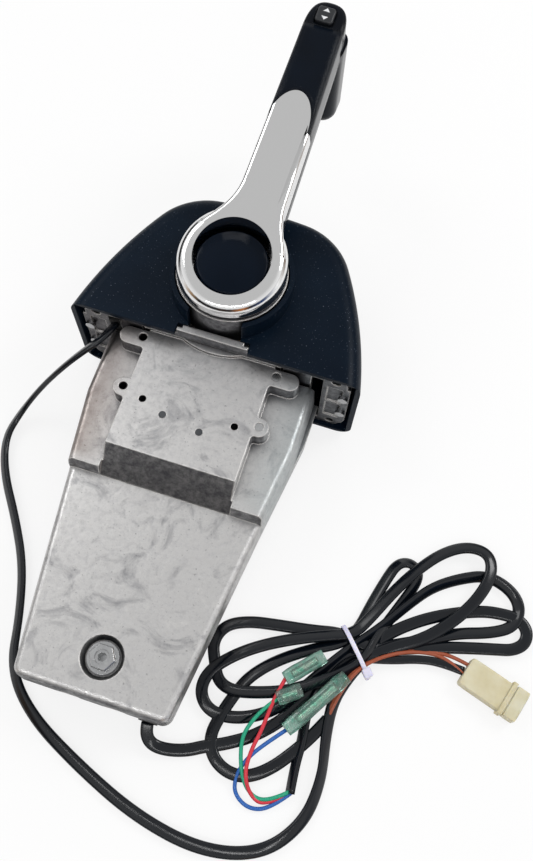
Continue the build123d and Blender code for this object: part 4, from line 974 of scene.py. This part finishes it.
    def sleeves(self) -> list[bpy.types.Object]:
        """The three bullet sleeves: flared clear tubes with a metal bullet inside each.

        Returns:
            The sleeves, in the order of their letters.
        """
        z = self.hank_height + self.sleeve_height / 2
        share = np.linspace(0, 1, self.sleeve_rings)
        swell = 0.86 + 0.14 * np.sin(share * math.pi) + 0.05 * np.sin(share * 9)
        section = oval(self.sleeve_width, self.sleeve_height, 1.3, 20)
        made = []
        for letter, (start, end) in zip("abc", self.sleeve_ends):
            line = row(np.linspace((*start, z), (*end, z), self.sleeve_rings))
            grid = swept_grid(line, section, np.zeros(len(line)))
            grid = line[:, None, :] + (grid - line[:, None, :]) * swell[:, None, None]
            shell = surface(f"bullet_sleeve_{letter}", grid, Material.SLEEVE)
            inner = line[4:-4]
            bullet = swept_grid(inner, oval(self.bullet_d, self.bullet_d), np.zeros(len(inner)))
            core = surface(f"bullet_core_{letter}", bullet, Material.TIN)
            joined = join([shell, core], f"bullet_{letter}")
            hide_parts(f"sleeve_{letter}")
            made.append(joined)
        return made


def join(pieces: list[bpy.types.Object], name: str) -> bpy.types.Object:
    """Joins pieces into the first of them and names it.

    Args:
        pieces: objects on one body.
        name: the joined piece's name.

    Returns:
        The joined object.
    """
    with bpy.context.temp_override(active_object=pieces[0], object=pieces[0],
                                   selected_objects=pieces, selected_editable_objects=pieces):
        bpy.ops.object.join()
    pieces[0].name = name
    pieces[0].data.name = name
    return pieces[0]


# ---------------------------------------------------------------------------------- lever
@dataclass
class RockerMarks:
    """Two plain arrowheads printed on the trim rocker."""

    lean_deg: float = 2.3
    slope: float = 0.2
    face_z: float = 103.0
    rocker_x: float = 1.0
    rocker_y: float = 147.6
    top: float = 2.42
    tip: float = 3.7
    foot: float = 1.5
    half_width: float = 2.0
    sunk: float = 0.1
    proud: float = 0.03

    def build(self) -> None:
        """Makes the arrowheads as thin raised prints on the rocker's sloped face."""
        factor = math.hypot(1, self.slope)
        lean = math.radians(self.lean_deg)
        across = np.array([math.cos(lean), -math.sin(lean), 0.0])
        along = np.array([math.sin(lean) / factor, math.cos(lean) / factor, self.slope / factor])
        normal = np.cross(across, along)
        on_axis = np.array([math.sin(lean) * self.rocker_y, math.cos(lean) * self.rocker_y,
                            self.face_z + self.slope * self.rocker_y])
        centre = on_axis + across * self.rocker_x + normal * self.top
        for name, way in (("up", 1.0), ("down", -1.0)):
            tip = centre + along * way * self.tip
            foot = centre + along * way * self.foot
            side = across * self.half_width
            outline = np.array([tip, foot + side, foot - side])[::int(way)]
            grid = np.stack([outline - normal * self.sunk, outline + normal * self.proud])
            piece = surface(f"rocker_mark_{name}", row(grid), Material.MARK, body="trim_rocker")
            piece.data.polygons.foreach_set("use_smooth", np.zeros(len(piece.data.polygons), bool))
            LOG.info("mark %s", piece.name)


# ---------------------------------------------------------------------------------- studio
@dataclass(frozen=True)
class Lamp:
    """An area lamp that looks at the control: its place and size in metres, its power in watts."""

    name: str
    place: Point
    width: float
    depth: float
    power: float

    def build(self) -> None:
        """Makes the lamp and turns it to the middle of the control."""
        data = bpy.data.lights.new(self.name, "AREA")
        data.shape = "RECTANGLE"
        data.size = self.width
        data.size_y = self.depth
        data.energy = self.power
        place, target = Vector(self.place), Vector((0.0, 0.0, 0.03))
        aim = (target - place).to_track_quat("-Z", "Y").to_matrix().to_4x4()
        placed(self.name, data).matrix_world = Matrix.Translation(place) @ aim


@dataclass
class Studio:
    """Camera, soft lamps, pale floor and a plain surround.

    The key lamp stands above the left shoulder, the fill to the right, the strip below the housing.
    """

    position: Point = (92.01, -216.41, 549.30)
    yaw: float = 0.0998314
    pitch: float = 0.3537188
    roll: float = 0.3318619
    floor_half: float = 3.0
    floor_z: float = -0.0004        # just below the pieces that lie on it
    floor_glow: float = 0.8         # share of white in what the camera sees of the floor
    lamps: tuple[Lamp, ...] = (Lamp("key", (-0.75, 0.30, 0.95), 0.5, 0.5, 2.6),
                               Lamp("fill", (0.75, 0.55, 0.9), 0.4, 0.4, 4.0),
                               Lamp("strip", (0.1, -0.75, 1.1), 1.2, 0.05, 2.5))

    def build(self) -> None:
        """Makes the camera, world, lamps and floor."""
        self.camera()
        self.world()
        for lamp in self.lamps:
            lamp.build()
        self.floor()
        bpy.context.scene.view_settings.view_transform = "Standard"

    def camera(self) -> None:
        """The camera, turned by yaw about Y, then pitch about X, then roll about its own axis."""
        data = bpy.data.cameras.new("camera")
        data.sensor_width = SENSOR_MM
        data.lens = FOCAL_PX * SENSOR_MM / IMAGE_HEIGHT
        data.clip_start = 0.01
        data.clip_end = 20.0
        made = placed("camera", data)
        turn = (Matrix.Rotation(self.yaw, 4, "Y") @ Matrix.Rotation(self.pitch, 4, "X")
                @ Matrix.Rotation(self.roll, 4, "Z"))
        made.matrix_world = Matrix.Translation(Vector(self.position) * MM) @ turn
        bpy.context.scene.camera = made

    def world(self) -> None:
        """A room: soft grey ceiling, bright upper walls, and a low band of dark and coloured things.

        The height in the direction gives the ceiling and walls, and its turn about Z the low band.
        The camera sees plain white in their place.
        """
        world = bpy.data.worlds.new("studio")
        world.use_nodes = True
        bpy.context.scene.world = world
        canvas = Canvas(world.node_tree, world.node_tree.nodes["Background"])
        direction = canvas.add("ShaderNodeTexCoord", output="Generated")
        axes = canvas.add(SPLIT, {0: direction}).node.outputs
        walls = canvas.add(RAMP, {0: axes["Z"]}, greys((0.0, 0.1), (0.25, 0.22), (0.5, 0.95), (0.78, 0.8),
                                                       (0.93, 0.6), (1.0, 0.6)))
        angle = canvas.add(MATH, {0: axes["Y"], 1: axes["X"]}, operation="ARCTAN2")
        turn = canvas.add(MAP_RANGE, {0: angle, 1: -math.pi, 2: math.pi})
        things = (greys((0.0, 0.02), (0.06, 0.9), (0.15, 0.02), (0.22, 0.03), (0.28, 0.02), (0.36, 0.02),
                        (0.5, 1.1), (0.72, 0.02), (0.8, 1.2), (0.9, 0.03), (1.0, 0.02))
                  + tones((0.11, "#a88a6a"), (0.25, "#3b2f28"), (0.33, "#c07a44"), (0.42, "#27406e"),
                          (0.6, "#7b6450")))
        room = canvas.add(RAMP, {0: turn}, sorted(things))
        low = canvas.add(RAMP, {0: axes["Z"]}, greys((0.3, 1.0), (0.46, 0.0)))
        shade = canvas.layers(walls, (low, room))
        seen = canvas.add("ShaderNodeLightPath", output="Is Camera Ray")
        canvas.feed("Color", canvas.layers(shade, (seen, grey(1.0))))

    def floor(self) -> None:
        """A pale floor that reads white to the camera and keeps a soft shadow."""
        half = self.floor_half
        corners = [(x * half, y * half, self.floor_z) for x, y in ((-1, -1), (1, -1), (1, 1), (-1, 1))]
        mesh = bpy.data.meshes.new("floor")
        mesh.from_pydata(corners, [], [(0, 1, 2, 3)])
        made = placed("floor", mesh)
        material = bpy.data.materials.new("pale_floor")
        material.use_nodes = True
        tree = material.node_tree
        canvas = Canvas(tree, tree.nodes["Principled BSDF"])
        canvas.shader.inputs["Base Color"].default_value = linear("#f2f2f2")
        canvas.shader.inputs["Roughness"].default_value = 0.9
        glow = canvas.add("ShaderNodeEmission", {0: grey(1.0), 1: 1.0})
        seen = canvas.add("ShaderNodeLightPath", output="Is Camera Ray")
        share = canvas.add(MATH, {0: seen, 1: self.floor_glow}, operation="MULTIPLY")
        mix = canvas.add("ShaderNodeMixShader", {0: share, 1: canvas.shader.outputs[0], 2: glow})
        tree.links.new(mix, tree.nodes["Material Output"].inputs[0])
        mesh.materials.append(material)


def main() -> None:
    """Builds the studio, the wiring and the lever's marks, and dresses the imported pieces."""
    logging.basicConfig(level=logging.INFO, format="%(message)s")
    Studio().build()
    Wiring().build()
    dress_nodes(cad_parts)
    RockerMarks().build()


if __name__ == "__main__":
    main()
